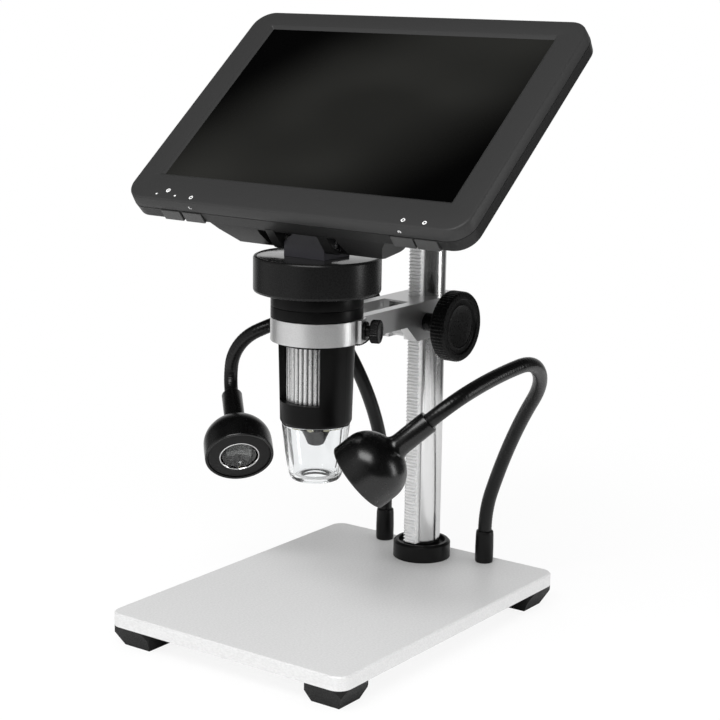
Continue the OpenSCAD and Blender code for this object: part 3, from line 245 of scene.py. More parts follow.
def paint_between(made, share, first, second):
    """Gives a material a colour that turns from the first to the second with share."""
    tree = made.node_tree
    mix = tree.nodes.new("ShaderNodeMix")
    mix.data_type = "RGBA"
    tree.links.new(share, mix.inputs["Factor"])
    ends = [s for s in mix.inputs if s.type == "RGBA"]
    ends[0].default_value = (*first, 1)
    ends[1].default_value = (*second, 1)
    mixed = [s for s in mix.outputs if s.type == "RGBA"][0]
    tree.links.new(mixed, tree.nodes["Principled BSDF"].inputs["Base Color"])


def grain(made, size, depth=0.0, rough=None, tint=None, stretch=(1, 1, 1), detail=3.0):
    """Specks `size` metres across that vary a material's bump, roughness and colour."""
    tree = made.node_tree
    shader = tree.nodes["Principled BSDF"]
    speck = specks(tree, [s / size for s in stretch], detail)
    faint, strong = 0.3, 0.7
    if rough:
        tree.links.new(ramp(tree, speck, faint, strong, *rough), shader.inputs["Roughness"])
    if tint:
        paint_between(made, ramp(tree, speck, faint, strong, 0, 1), *tint)
    if depth:
        bump = tree.nodes.new("ShaderNodeBump")
        bump.inputs["Distance"].default_value = depth
        tree.links.new(speck, bump.inputs["Height"])
        wire(tree, (bump, 0), (shader, "Normal"))


def grey(level):
    """A neutral colour."""
    return (level, level, level)


def dress(made, slot, *names):
    """Gives CAD nodes a finish."""
    for name in names:
        piece = nodes[name]
        piece.data.materials.clear()
        piece.data.materials.append(made)


plate_top = finish("blasted_aluminium", grey(0.66), metallic=0.12, Specular_IOR_Level=0.5)
grain(plate_top, size=0.0006, depth=0.000012, tint=(grey(0.6), grey(0.67)), stretch=(0.5, 1, 1))
grain(plate_top, size=0.03, rough=(0.44, 0.54), stretch=(1, 0.3, 1))
dress(plate_top, "plate_aluminium", "base_plate")


# ---- Feet ----
# Four tapered feet moulded in black rubbery plastic under the plate's corners,
# each held by a hexagon-socket screw that is sunk into it from below.


def plain_copy(node):
    """A CAD node's own mesh in a bmesh, with its loose triangles joined up."""
    same_place, nearly_flat = 2e-6, math.radians(0.6)
    shape = bmesh.new()
    shape.from_mesh(nodes[node].data)
    bmesh.ops.remove_doubles(shape, verts=shape.verts, dist=same_place)
    bmesh.ops.dissolve_limit(shape, angle_limit=nearly_flat, verts=shape.verts, edges=shape.edges)
    return shape


def piece_of(name, shape, made, body, replaced=(), smooth=35, even=False):
    """A finished piece from a bmesh: materials, body and the nodes it stands for.
    It is smooth where its faces meet at less than `smooth` degrees, and even keeps
    large faces flat right up to their rounded edges."""
    mesh = bpy.data.meshes.new(name)
    shape.to_mesh(mesh)
    shape.free()
    for face in mesh.polygons:
        face.use_smooth = True
    mesh.set_sharp_from_angle(angle=math.radians(smooth))
    for material in made if isinstance(made, (list, tuple)) else [made]:
        mesh.materials.append(material)
    piece = bpy.data.objects.new(name, mesh)
    bpy.context.scene.collection.objects.link(piece)
    if even:
        flat = piece.modifiers.new("flat_faces", "WEIGHTED_NORMAL")
        flat.weight = 100
        flat.keep_sharp = True
    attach(piece, body)
    if replaced:
        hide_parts(*replaced)


def eased_copy(node, name, made, body, width, segments=2, angle=28, smooth=35, edge=-1):
    """A copy of a CAD node that stands for it, rounded at edges sharper than `angle`.
    edge is the material's number on the new narrow faces."""
    shape = plain_copy(node)
    sharp = math.radians(angle)
    edges = [e for e in shape.edges if len(e.link_faces) == 2 and e.calc_face_angle(0) > sharp]
    bmesh.ops.bevel(
        shape, geom=edges, offset=width, offset_type="OFFSET", segments=segments,
        profile=0.5, affect="EDGES", clamp_overlap=True, material=edge,
    )
    piece_of(name, shape, made, body, [node], smooth, even=True)


foot_rubber = finish("foot_rubber", grey(0.01), roughness=0.6, Specular_IOR_Level=0.15)
grain(foot_rubber, size=0.0006, depth=0.00002, rough=(0.45, 0.65))
for corner in ("front_left", "front_right", "back_left", "back_right"):
    eased_copy("foot_" + corner, "foot_pad_" + corner, foot_rubber, "stand", width=0.0003)

screw_steel = finish("screw_steel", grey(0.17), metallic=0.9, roughness=0.35)
grain(screw_steel, size=0.0012, depth=0.000006, rough=(0.28, 0.45), tint=(grey(0.14), grey(0.2)))
dress(screw_steel, "dark_screw", "foot_screws", "rack_screws", "column_bolt", "cover_screws")


# ---- Column ----
# A polished rod with a milled flat groove in front, where the toothed rack is
# screwed in, and a black collar pressed on at its foot. A bolt holds it from below.

rod_steel = finish("polished_rod", grey(0.66), metallic=1.0, roughness=0.16, Anisotropic=0.5)
grain(rod_steel, size=0.0005, depth=0.000001, rough=(0.12, 0.24), stretch=(1, 1, 0.02))
dress(rod_steel, "column_steel", "column_rod")

rack_metal = finish("milled_rack", grey(0.8), metallic=0.2, roughness=0.42)
grain(
    rack_metal, size=0.0012, depth=0.000008, rough=(0.3, 0.5),
    tint=(grey(0.74), grey(0.88)), stretch=(0.3, 1, 1),
)
dress(rack_metal, "rack_steel", "column_rack", "pinion_shaft")

mm = 0.001


def at(x, y, z):
    """A place in mm with its axis upright."""
    return Matrix.Translation((x, y, z))


def point(shape, place, x, y, z):
    """A new vertex of a bmesh, at a point in mm seen from `place`."""
    return shape.verts.new(place @ Vector((x, y, z)) * mm)


def turned(profile, place, sides=96, knurl=None):
    """A bmesh turned round `place`'s Z axis from a closed profile of (radius, height) in mm.
    knurl is (from this radius out, depth, number of grooves)."""
    knurl_start, knurl_depth, grooves = knurl or (math.inf, 0, 0)
    on_axis = 1e-6
    shape = bmesh.new()
    rings = []
    for r, z in profile:
        if r < on_axis:
            rings.append([point(shape, place, 0, 0, z)])
            continue
        ring = []
        for i in range(sides):
            a = 2 * math.pi * i / sides
            q = r
            if r >= knurl_start:
                q -= knurl_depth * (0.5 + 0.5 * math.cos(a * grooves))
            ring.append(point(shape, place, q * math.cos(a), q * math.sin(a), z))
        rings.append(ring)
    for a, b in zip(rings, rings[1:] + rings[:1]):
        if len(a) == 1 and len(b) == 1:
            continue
        for i in range(sides):
            j = (i + 1) % sides
            if len(a) == 1:
                shape.faces.new((a[0], b[i], b[j]))
            elif len(b) == 1:
                shape.faces.new((a[i], b[0], a[j]))
            else:
                shape.faces.new((a[i], b[i], b[j], a[j]))
    bmesh.ops.recalc_face_normals(shape, faces=shape.faces)
    return shape


def eased(points, radius):
    """A profile with its corners rounded, as far as the sides beside each one allow."""
    tiny, nearly_straight, side_share, steps = 1e-6, math.radians(165), 0.42, 3
    made = []
    for i, (x, y) in enumerate(points):
        p = Vector((x, y))
        a = Vector(points[i - 1]) - p
        b = Vector(points[(i + 1) % len(points)]) - p
        if min(a.length, b.length, x) < tiny or a.angle(b) > nearly_straight:
            made.append((x, y))
            continue
        cut = min(radius / math.tan(a.angle(b) / 2), side_share * a.length, side_share * b.length)
        start, end = p + a.normalized() * cut, p + b.normalized() * cut
        for k in range(steps + 1):
            t = k / steps
            q = start * (1 - t) ** 2 + p * 2 * t * (1 - t) + end * t * t
            made.append((q.x, q.y))
    return made


black_metal = finish("black_anodised", grey(0.003), roughness=0.36, Specular_IOR_Level=0.2)
grain(black_metal, size=0.0007, depth=0.000006, rough=(0.28, 0.42))
foot_collar = [(8.56, 0), (13.6, 0), (13.6, 7.2), (12.6, 8.2), (11.1, 8.2), (11.1, 6.4), (8.56, 6.4)]
rod_foot = at(0, 85, 0)
collar = turned(eased(foot_collar, radius=0.25), rod_foot)
piece_of("foot_collar", collar, black_metal, "stand", ["column_collar"])


# ---- Focus arm ----
# One block of aluminium: a slit ring clamp in front, two cheeks, and a block
# that slides on the rod. It is bead blasted, and its edges are milled bright.

arm_metal = finish("blasted_arm", grey(0.7), metallic=0.95, roughness=0.32)
grain(arm_metal, size=0.0005, depth=0.000006, rough=(0.28, 0.36), tint=(grey(0.67), grey(0.73)))
chamfer_cut = finish("cut_aluminium", grey(0.86), metallic=1.0, roughness=0.22)
grain(chamfer_cut, size=0.0008, depth=0.000004, rough=(0.18, 0.3))
eased_copy(
    "focus_arm", "focus_arm_casting", [arm_metal, chamfer_cut], "carriage",
    width=0.0005, segments=1, smooth=20, edge=1,
)

brass = finish("turned_brass", (0.62, 0.42, 0.16), metallic=1.0, roughness=0.3)
grain(brass, size=0.0006, depth=0.000004, rough=(0.22, 0.4))
dress(brass, "pad_brass", "clamp_pad")


# ---- Focus knobs ----
# Two dished knobs turned from black plastic with a fine knurl round the rim,
# pressed on the ends of the pinion shaft.


def tilted(degrees, axis):
    """A turn about an axis."""
    return Matrix.Rotation(math.radians(degrees), 4, axis)


knob_plastic = finish("knob_plastic", grey(0.003), roughness=0.32, Specular_IOR_Level=0.16)
grain(knob_plastic, size=0.0009, depth=0.000006, rough=(0.24, 0.4))
knob_profile = [
    (2.52, 12.3), (4.2, 12.3), (4.2, 24.0), (15.3, 24.0), (15.9, 24.6), (15.9, 30.4),
    (15.3, 31.2), (12.6, 31.2), (12.2, 30.2), (10.15, 30.15), (9.95, 30.45), (9.7, 30.45),
    (9.5, 30.1), (6, 29.75), (0, 29.45), (0, 27.7), (2.52, 27.7),
]
pinion_middle = at(0, 66.7, 118)
for name, sign in (("right", 1), ("left", -1)):
    place = pinion_middle @ tilted(90 * sign, "Y")
    knob = turned(eased(knob_profile, radius=0.15), place, sides=480, knurl=(15.6, 0.22, 60))
    piece_of("knob_" + name, knob, knob_plastic, "pinion", ["focus_knob_" + name], smooth=40)


# ---- Clamp screw ----
# A thumb screw with a knurled head moulded in black plastic. It is screwed into
# the ring clamp from the side and closes it.

clamp_bearing, clamp_height = 20, 123.8
clamp_place = tilted(clamp_bearing, "Z") @ at(0, 0, clamp_height) @ tilted(90, "Y")
clamp_profile = [
    (0, 18.3), (2, 18.3), (2, 21.1), (4.1, 21.1), (4.1, 22.4), (2.5, 22.4), (2.5, 24.4),
    (4.7, 24.4), (5.1, 24.8), (5.1, 27.9), (4.7, 28.3), (3.6, 28.3), (3.4, 28.0), (0, 28.0),
]
thumb = turned(eased(clamp_profile, radius=0.2), clamp_place, sides=240, knurl=(4.9, 0.3, 30))
piece_of("thumb_screw", thumb, knob_plastic, "clamp_screw_body", ["clamp_screw"], smooth=40)


# ---- Barrel ----
# The tapered barrel of the camera head, moulded in black plastic with a soft
# sheen, with a window that shows the ribbed focus wheel.

barrel_plastic = finish("barrel_plastic", grey(0.002), roughness=0.34, Specular_IOR_Level=0.12)
grain(barrel_plastic, size=0.00045, depth=0.000004, rough=(0.3, 0.38))
dress(barrel_plastic, "head_black", "barrel_shell", "wheel_retainer", "lens_nose")


# ---- Focus wheel ----
# A ribbed wheel with a satin chrome skin, the lens carrier that its thread
# moves, the objective lens and the sensor's small circuit board above them.

wheel_chrome = finish("satin_chrome", grey(0.7), metallic=0.9, roughness=0.3)
grain(wheel_chrome, size=0.0009, depth=0.000002, rough=(0.24, 0.34), stretch=(1, 1, 0.15))
# Painted shade: the chrome turns dark towards each groove between the 36 ribs
tree = wheel_chrome.node_tree
spot = tree.nodes.new("ShaderNodeTexCoord")
split = tree.nodes.new("ShaderNodeSeparateXYZ")
wire(tree, (spot, "Object"), (split, 0))
wheel_ribs = 36
bearing = maths(tree, "ARCTAN2", split.outputs["Y"], split.outputs["X"])
wave = maths(tree, "COSINE", maths(tree, "MULTIPLY", bearing, wheel_ribs))
groove_shade_start, groove_shade_full = 0.4, 0.95
paint_between(wheel_chrome, ramp(tree, wave, groove_shade_start, groove_shade_full, 0, 1), grey(0.72), grey(0.06))
dress(wheel_chrome, "wheel_black", "focus_wheel")

carrier_grey = finish("carrier_grey", grey(0.09))
grain(carrier_grey, size=0.0006, depth=0.00001, rough=(0.42, 0.6))
dress(carrier_grey, "carrier_grey", "lens_carrier")

board_lacquer = finish("board_lacquer", (0.012, 0.12, 0.035), roughness=0.35)
lacquer_greens = (0.008, 0.09, 0.025), (0.02, 0.17, 0.05)
grain(board_lacquer, size=0.0014, depth=0.00002, rough=(0.28, 0.45), tint=lacquer_greens, detail=6)
dress(board_lacquer, "board_green", "sensor_board", "main_board")

lens_glass = finish("coated_glass", (0.95, 0.97, 1.0), roughness=0.02, Transmission_Weight=1.0, IOR=1.5)
grain(lens_glass, size=0.004, depth=0.000002, rough=(0.01, 0.03))
dress(lens_glass, "lens_glass", "objective_lens")


# ---- Ring of LEDs ----
# Eight clear domed LEDs, soldered on a ring-shaped circuit board with white
# lacquer that is fixed round the lens nose.

white_board = finish("white_board", grey(0.72), roughness=0.45)
grain(white_board, size=0.001, depth=0.000008, rough=(0.38, 0.55), tint=(grey(0.66), grey(0.76)))
dress(white_board, "board_white", "led_ring_board")

led_body = finish("led_body", (0.86, 0.84, 0.62), roughness=0.12, Transmission_Weight=0.3)
grain(led_body, size=0.0006, depth=0.000003, rough=(0.08, 0.2))
dress(led_body, "led_white", "ring_leds")


# ---- Clear cap ----
# A cup injection moulded in clear acrylic: it snaps on the barrel's foot, narrows
# downwards, and rests on what is looked at.

acrylic = finish("clear_acrylic", (0.94, 0.95, 0.955), roughness=0.03, Transmission_Weight=1.0, IOR=1.45)
grain(acrylic, size=0.006, depth=0.00001, rough=(0.015, 0.06), detail=2)
cap_profile = [
    (13.9, 84.3), (13.9, 82.35), (14.9, 82.35), (14.1, 76), (13.4, 70), (12.5, 64), (11.7, 60),
    (11.2, 58.4), (10.3, 57.35), (6, 57.35), (6, 59.15), (8.9, 59.15), (9.9, 60.75), (11.6, 70),
    (13.1, 81.35), (12.7, 82.35), (12.7, 84.3),
]
optical_axis = at(0, 0, 0)
cap = turned(eased(cap_profile, radius=0.5), optical_axis, sides=128)
piece_of("clear_cup", cap, acrylic, "head", ["clear_cap"], smooth=50)


# ---- Head housing ----
# A stepped round housing in satin black plastic with a glossy lid let into its
# top, and a collar with one turned line under it.

collar_profile = [
    (16.65, 128.9), (19.4, 128.9), (19.9, 129.4), (19.9, 133.7), (19.6, 133.8), (19.6, 134.15),
    (19.9, 134.25), (19.9, 139.7), (16.65, 139.7),
]
neck = turned(eased(collar_profile, radius=0.15), optical_axis, sides=128)
piece_of("head_neck", neck, barrel_plastic, "head", ["head_collar"])

head_plastic = finish("head_plastic", grey(0.006), roughness=0.3, Specular_IOR_Level=0.18)
grain(head_plastic, size=0.0008, rough=(0.26, 0.3))
housing_profile = [
    (0, 139.7), (26.2, 139.7), (27.05, 140.05), (27.4, 140.9), (27.4, 154.2), (27.1, 154.9),
    (26.4, 155.2), (26.0, 155.2), (26.0, 153.4), (24.4, 153.4), (24.4, 142.7), (0, 142.7),
]
drum = turned(eased(housing_profile, radius=0.4), optical_axis, sides=160)
piece_of("head_drum", drum, head_plastic, "head", ["head_housing"])

lid_gloss = finish("lid_gloss", grey(0.014), roughness=0.12)
grain(lid_gloss, size=0.003, depth=0.000002, rough=(0.09, 0.17))
lid_profile = [(0, 153.4), (25.9, 153.4), (25.9, 154.9), (0, 154.9)]
lid = turned(eased(lid_profile, radius=0.2), optical_axis, sides=160)
piece_of("drum_lid", lid, lid_gloss, "head", ["head_lid"])


# ---- Tilt bracket ----
# An angle bracket in dark powder-coated metal, screwed to the head, with a
# bright pin through it on which the monitor tilts.

bracket_coat = finish("bracket_coat", (0.021, 0.02, 0.026), roughness=0.42)
grain(bracket_coat, size=0.0007, depth=0.000012, rough=(0.36, 0.5))
eased_copy("tilt_bracket", "bracket_plate", bracket_coat, "head", width=0.0003)

bright_steel = finish("bright_steel", grey(0.6), metallic=1.0, roughness=0.25)
grain(bright_steel, size=0.0008, depth=0.000004, rough=(0.18, 0.34))
dress(bright_steel, "bright_steel", "bracket_screws", "hinge_pin", "usb_socket")


# ---- Monitor's front bezel ----
# A frame moulded in charcoal ABS with a fine spark-eroded texture. Its front edge
# is rounded, and a narrow slope leads down to the display.

monitor_lean = 38.96
hinge = at(0, -6.7, 162.5)
screen_from_hinge = at(0, 58.7, 20.9)
monitor = hinge @ tilted(monitor_lean, "X") @ screen_from_hinge
case_plastic = finish("charcoal_abs", grey(0.028), roughness=0.46, Specular_IOR_Level=0.25)
grain(case_plastic, size=0.00035, depth=0.000014, rough=(0.4, 0.54))


def round_loop(width, height, radius, middle):
    """Points round a rectangle with round corners, in mm, with its middle at y = `middle`."""
    steps = 10
    made = []
    for cx, cy, start in ((1, 1, 0), (-1, 1, 90), (-1, -1, 180), (1, -1, 270)):
        for k in range(steps + 1):
            a = math.radians(start + 90 * k / steps)
            x = cx * (width / 2 - radius) + radius * math.cos(a)
            y = middle + cy * (height / 2 - radius) + radius * math.sin(a)
            made.append((x, y))
    return made


def skin(shape, rings):
    """Faces from each ring of vertices to the next one, and from the last to the first."""
    for a, b in zip(rings, rings[1:] + rings[:1]):
        for i in range(len(a)):
            j = (i + 1) % len(a)
            shape.faces.new((a[i], a[j], b[j], b[i]))


# Each loop of the frame: width, height, corner radius and z, all in mm
case_middle, screen_middle = -2.6, 0.0
outer_side = [
    (177.2, 125.0, 9.6, -4.5), (177.7, 125.5, 9.85, -4.42), (177.85, 125.65, 9.9, -4.2),
    (177.5, 125.3, 9.75, -2.0), (176.9, 124.7, 9.45, 0.25), (176.6, 124.4, 9.3, 0.62),
    (176.1, 123.9, 9.05, 0.92), (175.4, 123.2, 8.7, 1.12), (174.6, 122.4, 8.3, 1.2),
]
inner_slope = [
    (153.6, 101.1, 0.9, 1.2), (153.1, 100.6, 0.8, 1.12), (152.7, 100.2, 0.7, 0.9),
    (150.3, 97.8, 0.4, 0.02), (150.0, 97.5, 0.4, -0.05),
]
back_side = [(172, 119.8, 7.0, -0.05), (172, 119.8, 7.0, -4.5)]
bezel = bmesh.new()
rings = []
for middle, loops in ((case_middle, outer_side), (screen_middle, inner_slope), (case_middle, back_side)):
    for width, height, radius, z in loops:
        loop = round_loop(width, height, radius, middle)
        rings.append([point(bezel, monitor, x, y, z) for x, y in loop])
skin(bezel, rings)
bmesh.ops.recalc_face_normals(bezel, faces=bezel.faces)
piece_of("bezel_frame", bezel, case_plastic, "monitor", ["front_bezel"], smooth=24)


# ---- Monitor's back cover ----
# The deeper half of the same case, with a bulge for the electronics, a recess
# for the hinge and its two lugs, and pockets for the buttons and sockets.

# Painted shade: a darker copy of the case's charcoal plastic, for the shaded underside
back_plastic_painted_shade = finish("back_abs_painted_shade", grey(0.013), roughness=0.4, Specular_IOR_Level=0.2)
grain(back_plastic_painted_shade, size=0.00035, depth=0.00001, rough=(0.34, 0.46))
eased_copy(
    "back_cover", "back_shell", back_plastic_painted_shade, "monitor",
    width=0.00035, angle=24, smooth=30,
)


# ---- Display ----
# A switched-off LCD panel behind hard glossy film: almost black, with a faint cloudy band
# of painted reflection, which runs across it at a slant.

display_film = finish("display_film", grey(0.001), roughness=0.14, Specular_IOR_Level=0.08)
grain(display_film, size=0.0002, rough=(0.12, 0.17))
# Painted reflection: a slanting band, broken into clouds, a little lighter than the film
tree = display_film.node_tree
spot = tree.nodes.new("ShaderNodeTexCoord")
slant, lean = math.radians(52), math.radians(monitor_lean)
reflection_way = (math.sin(slant), -math.cos(lean) * math.cos(slant), -math.sin(lean) * math.cos(slant))
reflection_start = 0.15567 * math.cos(slant) - 0.0034
across = maths(tree, "ADD", far_along(tree, spot.outputs["Object"], reflection_way), reflection_start)
reflection_heart, reflection_edge = 0.014, 0.072
near_reflection = ramp(tree, maths(tree, "ABSOLUTE", across), reflection_heart, reflection_edge, 1, 0)
reflection_noise = specks(tree, scale=(9, 22, 9), detail=1.0)
reflection_cloud = ramp(tree, reflection_noise, low=0.35, high=0.65, at_low=0.6, at_high=1)
painted_reflection = maths(tree, "MULTIPLY", near_reflection, reflection_cloud)
paint_between(display_film, painted_reflection, grey(0.0008), (0.0185, 0.0185, 0.017))
dress(display_film, "display_black", "lcd_panel")


# ---- Buttons and their marks ----
# Four push buttons in the case's lower side, and small generic signs printed in
# pale ink above them: dots, rings and a corner.

button_plastic = finish("button_plastic", grey(0.035), roughness=0.4)
grain(button_plastic, size=0.0004, depth=0.00001, rough=(0.34, 0.48))
for key in ("outer_left", "inner_left", "inner_right", "outer_right"):
    eased_copy(
        "button_" + key, "push_button_" + key, button_plastic, "key_" + key,
        width=0.0002,
    )

pale_ink = finish("pale_ink", grey(0.8))
grain(pale_ink, size=0.0003, rough=(0.42, 0.6), tint=(grey(0.74), grey(0.84)))
ink_under, ink_over = -0.05, 0.05


def printed(shape, place, radius, hole=0.0):
    """A printed dot or ring in the XY plane of `place`. A dot has a hole too fine to see."""
    sides = 28
    hole = max(hole, 0.001)
    rings = []
    for r, z in ((radius, ink_under), (radius, ink_over), (hole, ink_over), (hole, ink_under)):
        turns = [2 * math.pi * i / sides for i in range(sides)]
        rings.append([point(shape, place, r * math.cos(a), r * math.sin(a), z) for a in turns])
    skin(shape, rings)


def printed_bar(shape, place, x0, x1, y0, y1):
    """A printed bar in the XY plane of `place`."""
    corners = ((x0, y0), (x1, y0), (x1, y1), (x0, y1))
    v = [point(shape, place, x, y, z) for z in (ink_under, ink_over) for x, y in corners]
    for f in ((0, 1, 2, 3), (7, 6, 5, 4), (0, 4, 5, 1), (1, 5, 6, 2), (2, 6, 7, 3), (3, 7, 4, 0)):
        shape.faces.new([v[i] for i in f])


# On the bezel's face: each sign's x and y, its radius and its hole
face_signs = (
    (-70.3, -62.0, 0.42, 0), (-59.8, -62.1, 0.48, 0), (-65.3, -59.4, 1.1, 0.6), (-65.3, -59.4, 0.3, 0),
    (-50.6, -62.1, 0.95, 0.5), (59.3, -61.7, 0.95, 0.5), (69.6, -61.9, 0.95, 0.5),
)
marks = bmesh.new()
bezel_face = monitor @ at(0, 0, 1.2)
for x, y, radius, hole in face_signs:
    printed(marks, bezel_face @ at(x, y, 0), radius, hole)
# On the case's lower side, which slopes a little: a corner and a ring
side_slope = 4.6
lower_side = monitor @ at(0, -65.28, -2.0) @ tilted(90 + side_slope, "X")
corner_sign, ring_sign = lower_side @ at(-50.6, 0, 0), lower_side @ at(58.2, 0, 0)
printed_bar(marks, corner_sign, x0=-0.8, x1=-0.4, y0=-0.7, y1=0.8)
printed_bar(marks, corner_sign, x0=-0.8, x1=0.7, y0=-0.7, y1=-0.3)
printed(marks, ring_sign, radius=0.8, hole=0.42)
bmesh.ops.recalc_face_normals(marks, faces=marks.faces)
piece_of("printed_marks", marks, pale_ink, "monitor")


# ---- Monitor's inside ----
# A battery cell in blue-grey shrink wrap, which lies in the bulge of the back
# cover, under the main board.

cell_wrap = finish("cell_wrap", (0.24, 0.27, 0.32), roughness=0.35)
wrap_greys = (0.2, 0.23, 0.28), (0.28, 0.31, 0.36)
grain(cell_wrap, size=0.004, depth=0.00005, rough=(0.25, 0.45), tint=wrap_greys)
dress(cell_wrap, "battery_grey", "battery_cell")


# ---- Goosenecks ----
# Flexible necks wound from steel strip and sleeved in black vinyl, so that the
# turns show as fine ribs. Each goes into a pressed black ferrule on the plate.

vinyl = finish("ribbed_vinyl", grey(0.002), roughness=0.28, Specular_IOR_Level=0.3)
grain(vinyl, size=0.003, rough=(0.29, 0.33))

# Each arc's length in mm, its bend and the roll before it in degrees
neck_arcs = {
    "right": [
        (20, 21, -14), (60.5, 23.5, -31), (32, 40, -62.5),
        (16.5, 39, 17), (34, 10.5, 12.5), (18.5, 49.5, -33),
    ],
    "left": [
        (39.5, 20, -86.5), (48, 29, -103), (34.5, 75.5, 90),
        (17.5, 51.5, -82.5), (22.5, 54, 61), (13.5, 70, 73.5),
    ],
}
ferrule_x, ferrule_y, ferrule_top = 28.8, 95.3, 15.5


def arc_point(length, bend, share=1.0):
    """The point at a share of an arc that sets out along Z and bends towards X, in mm."""
    whole = math.radians(bend)
    radius, b = length / whole, whole * share
    return Vector((radius * (1 - math.cos(b)), 0, radius * math.sin(b)))


def neck_places(sign, arcs):
    """The place at the start of a neck and after each of its arcs."""
    place = at(ferrule_x * sign, ferrule_y, ferrule_top)
    made = [place]
    for length, bend, roll in arcs:
        place = place @ tilted(roll, "Z") @ at(*arc_point(length, bend)) @ tilted(bend, "Y")
        made.append(place)
    return made


def neck_line(places, arcs, first, last, before=0.0, after=0.0):
    """Points along arcs first to last-1, with straight ends `before` and `after` them."""
    fewest, point_gap = 8, 1.2
    made = [places[first] @ Vector((0, 0, -before))] if before else []
    for i in range(first, last):
        length, bend, roll = arcs[i]
        count = max(fewest, int(length / point_gap))
        for k in range(0 if i == first else 1, count + 1):
            made.append(places[i] @ tilted(roll, "Z") @ arc_point(length, bend, k / count))
    if after:
        made.append(places[last] @ Vector((0, 0, after)))
    return made


neck_sides, points_per_rib = 24, 6
ribbed = bpy.data.node_groups.new("ribbed_neck", "GeometryNodeTree")
sizes = (("Neck Radius", "Float", 0.00325), ("Rib Pitch", "Float", 0.0016), ("Rib Depth", "Float", 0.00005))
ribbed.interface.new_socket("Line", in_out="INPUT", socket_type="NodeSocketGeometry")
for name, kind, value in (*sizes, ("Sides", "Int", neck_sides)):
    size = ribbed.interface.new_socket(name, in_out="INPUT", socket_type="NodeSocket" + kind)
    size.default_value = value
ribbed.interface.new_socket("Neck", in_out="OUTPUT", socket_type="NodeSocketGeometry")
given = ribbed.nodes.new("NodeGroupInput")
curve = ribbed.nodes.new("GeometryNodeMeshToCurve")
wire(ribbed, (given, "Line"), (curve, 0))
even = ribbed.nodes.new("GeometryNodeResampleCurve")
even.mode = "LENGTH"
wire(ribbed, (curve, 0), (even, 0))
step = maths(ribbed, "DIVIDE", given.outputs["Rib Pitch"], points_per_rib)
ribbed.links.new(step, even.inputs["Length"])
along = ribbed.nodes.new("GeometryNodeSplineParameter")
turns = maths(ribbed, "DIVIDE", along.outputs["Length"], given.outputs["Rib Pitch"])
crest = maths(ribbed, "ABSOLUTE", maths(ribbed, "SINE", maths(ribbed, "MULTIPLY", turns, math.pi)))
dip = maths(ribbed, "MULTIPLY", maths(ribbed, "SUBTRACT", 1, crest), given.outputs["Rib Depth"])
girth = maths(ribbed, "SUBTRACT", given.outputs["Neck Radius"], dip)
ring = ribbed.nodes.new("GeometryNodeCurvePrimitiveCircle")
ring.inputs["Radius"].default_value = 1.0
wire(ribbed, (given, "Sides"), (ring, "Resolution"))
swept = ribbed.nodes.new("GeometryNodeCurveToMesh")
wire(ribbed, (even, 0), (swept, "Curve"))
wire(ribbed, (ring, "Curve"), (swept, "Profile Curve"))
ribbed.links.new(girth, swept.inputs["Scale"])
swept.inputs["Fill Caps"].default_value = True
real = ribbed.nodes.new("GeometryNodeRealizeInstances")
wire(ribbed, (swept, 0), (real, 0))
coated = ribbed.nodes.new("GeometryNodeSetMaterial")
coated.inputs["Material"].default_value = vinyl
wire(ribbed, (real, 0), (coated, 0))
done = ribbed.nodes.new("NodeGroupOutput")
wire(ribbed, (coated, 0), (done, 0))


def wound_neck(name, line, body, node, ball=None):
    """A ribbed length of neck along a line of points in mm, with a ball at its upper end."""
    mesh = bpy.data.meshes.new(name + "_line")
    mesh.from_pydata([p * mm for p in line], [(i, i + 1) for i in range(len(line) - 1)], [])
    path = bpy.data.objects.new(name + "_line", mesh)
    bpy.context.scene.collection.objects.link(path)
    winding = path.modifiers.new("winding", "NODES")
    winding.node_group = ribbed
    for item in ribbed.interface.items_tree:
        if item.in_out == "INPUT" and item.name == "Sides":
            winding[item.identifier] = neck_sides
    view = bpy.context.evaluated_depsgraph_get()
    wound = bpy.data.meshes.new_from_object(path.evaluated_get(view), depsgraph=view)
    bpy.data.objects.remove(path)
    shape = bmesh.new()
    shape.from_mesh(wound)
    bpy.data.meshes.remove(wound)
    if ball is not None:
        middle = Matrix.Translation(ball * mm)
        bmesh.ops.create_icosphere(shape, subdivisions=3, radius=0.00305, matrix=middle)
    bmesh.ops.recalc_face_normals(shape, faces=shape.faces)
    piece_of(name, shape, vinyl, body, [node], smooth=50)


ferrule_profile = [
    (0, -5), (2.4, -5), (2.4, 0), (4.1, 0), (4.3, 1.2), (4.35, 7), (4.2, 13.6), (4.0, 15.2),
    (3.3, 15.5), (3.3, 9.5), (0, 9.5),
]
neck_to_rim = 40.7
rims = {}  # where each lamp's rim lies: its Z points back along the lamp
for name, sign in (("right", 1), ("left", -1)):
    arcs = neck_arcs[name]
    places = neck_places(sign, arcs)
    rims[name] = places[6] @ at(0, 0, neck_to_rim) @ tilted(180, "X")
    low, mid, high = (f"lamp_{name}_{part}" for part in ("low", "mid", "head"))
    lower = neck_line(places, arcs, 0, 2, before=5)
    middle = neck_line(places, arcs, 2, 4)
    upper = neck_line(places, arcs, 4, 6, after=8.4)
    wound_neck(f"neck_{name}_low", lower, low, f"lamp_{name}_neck_lower", places[2].translation)
    wound_neck(f"neck_{name}_mid", middle, mid, f"lamp_{name}_neck_middle", places[4].translation)
    wound_neck(f"neck_{name}_high", upper, high, f"lamp_{name}_neck_upper")
    ferrule = turned(eased(ferrule_profile, radius=0.3), at(ferrule_x * sign, ferrule_y, 0), sides=64)
    piece_of("ferrule_" + name, ferrule, black_metal, "stand", [f"lamp_{name}_ferrule"])


# ---- Lamp shades ----
# Bells spun from thin aluminium and sprayed satin black, with a pressed ring
# inside that holds a chromed reflector, its LED and a clear lens.

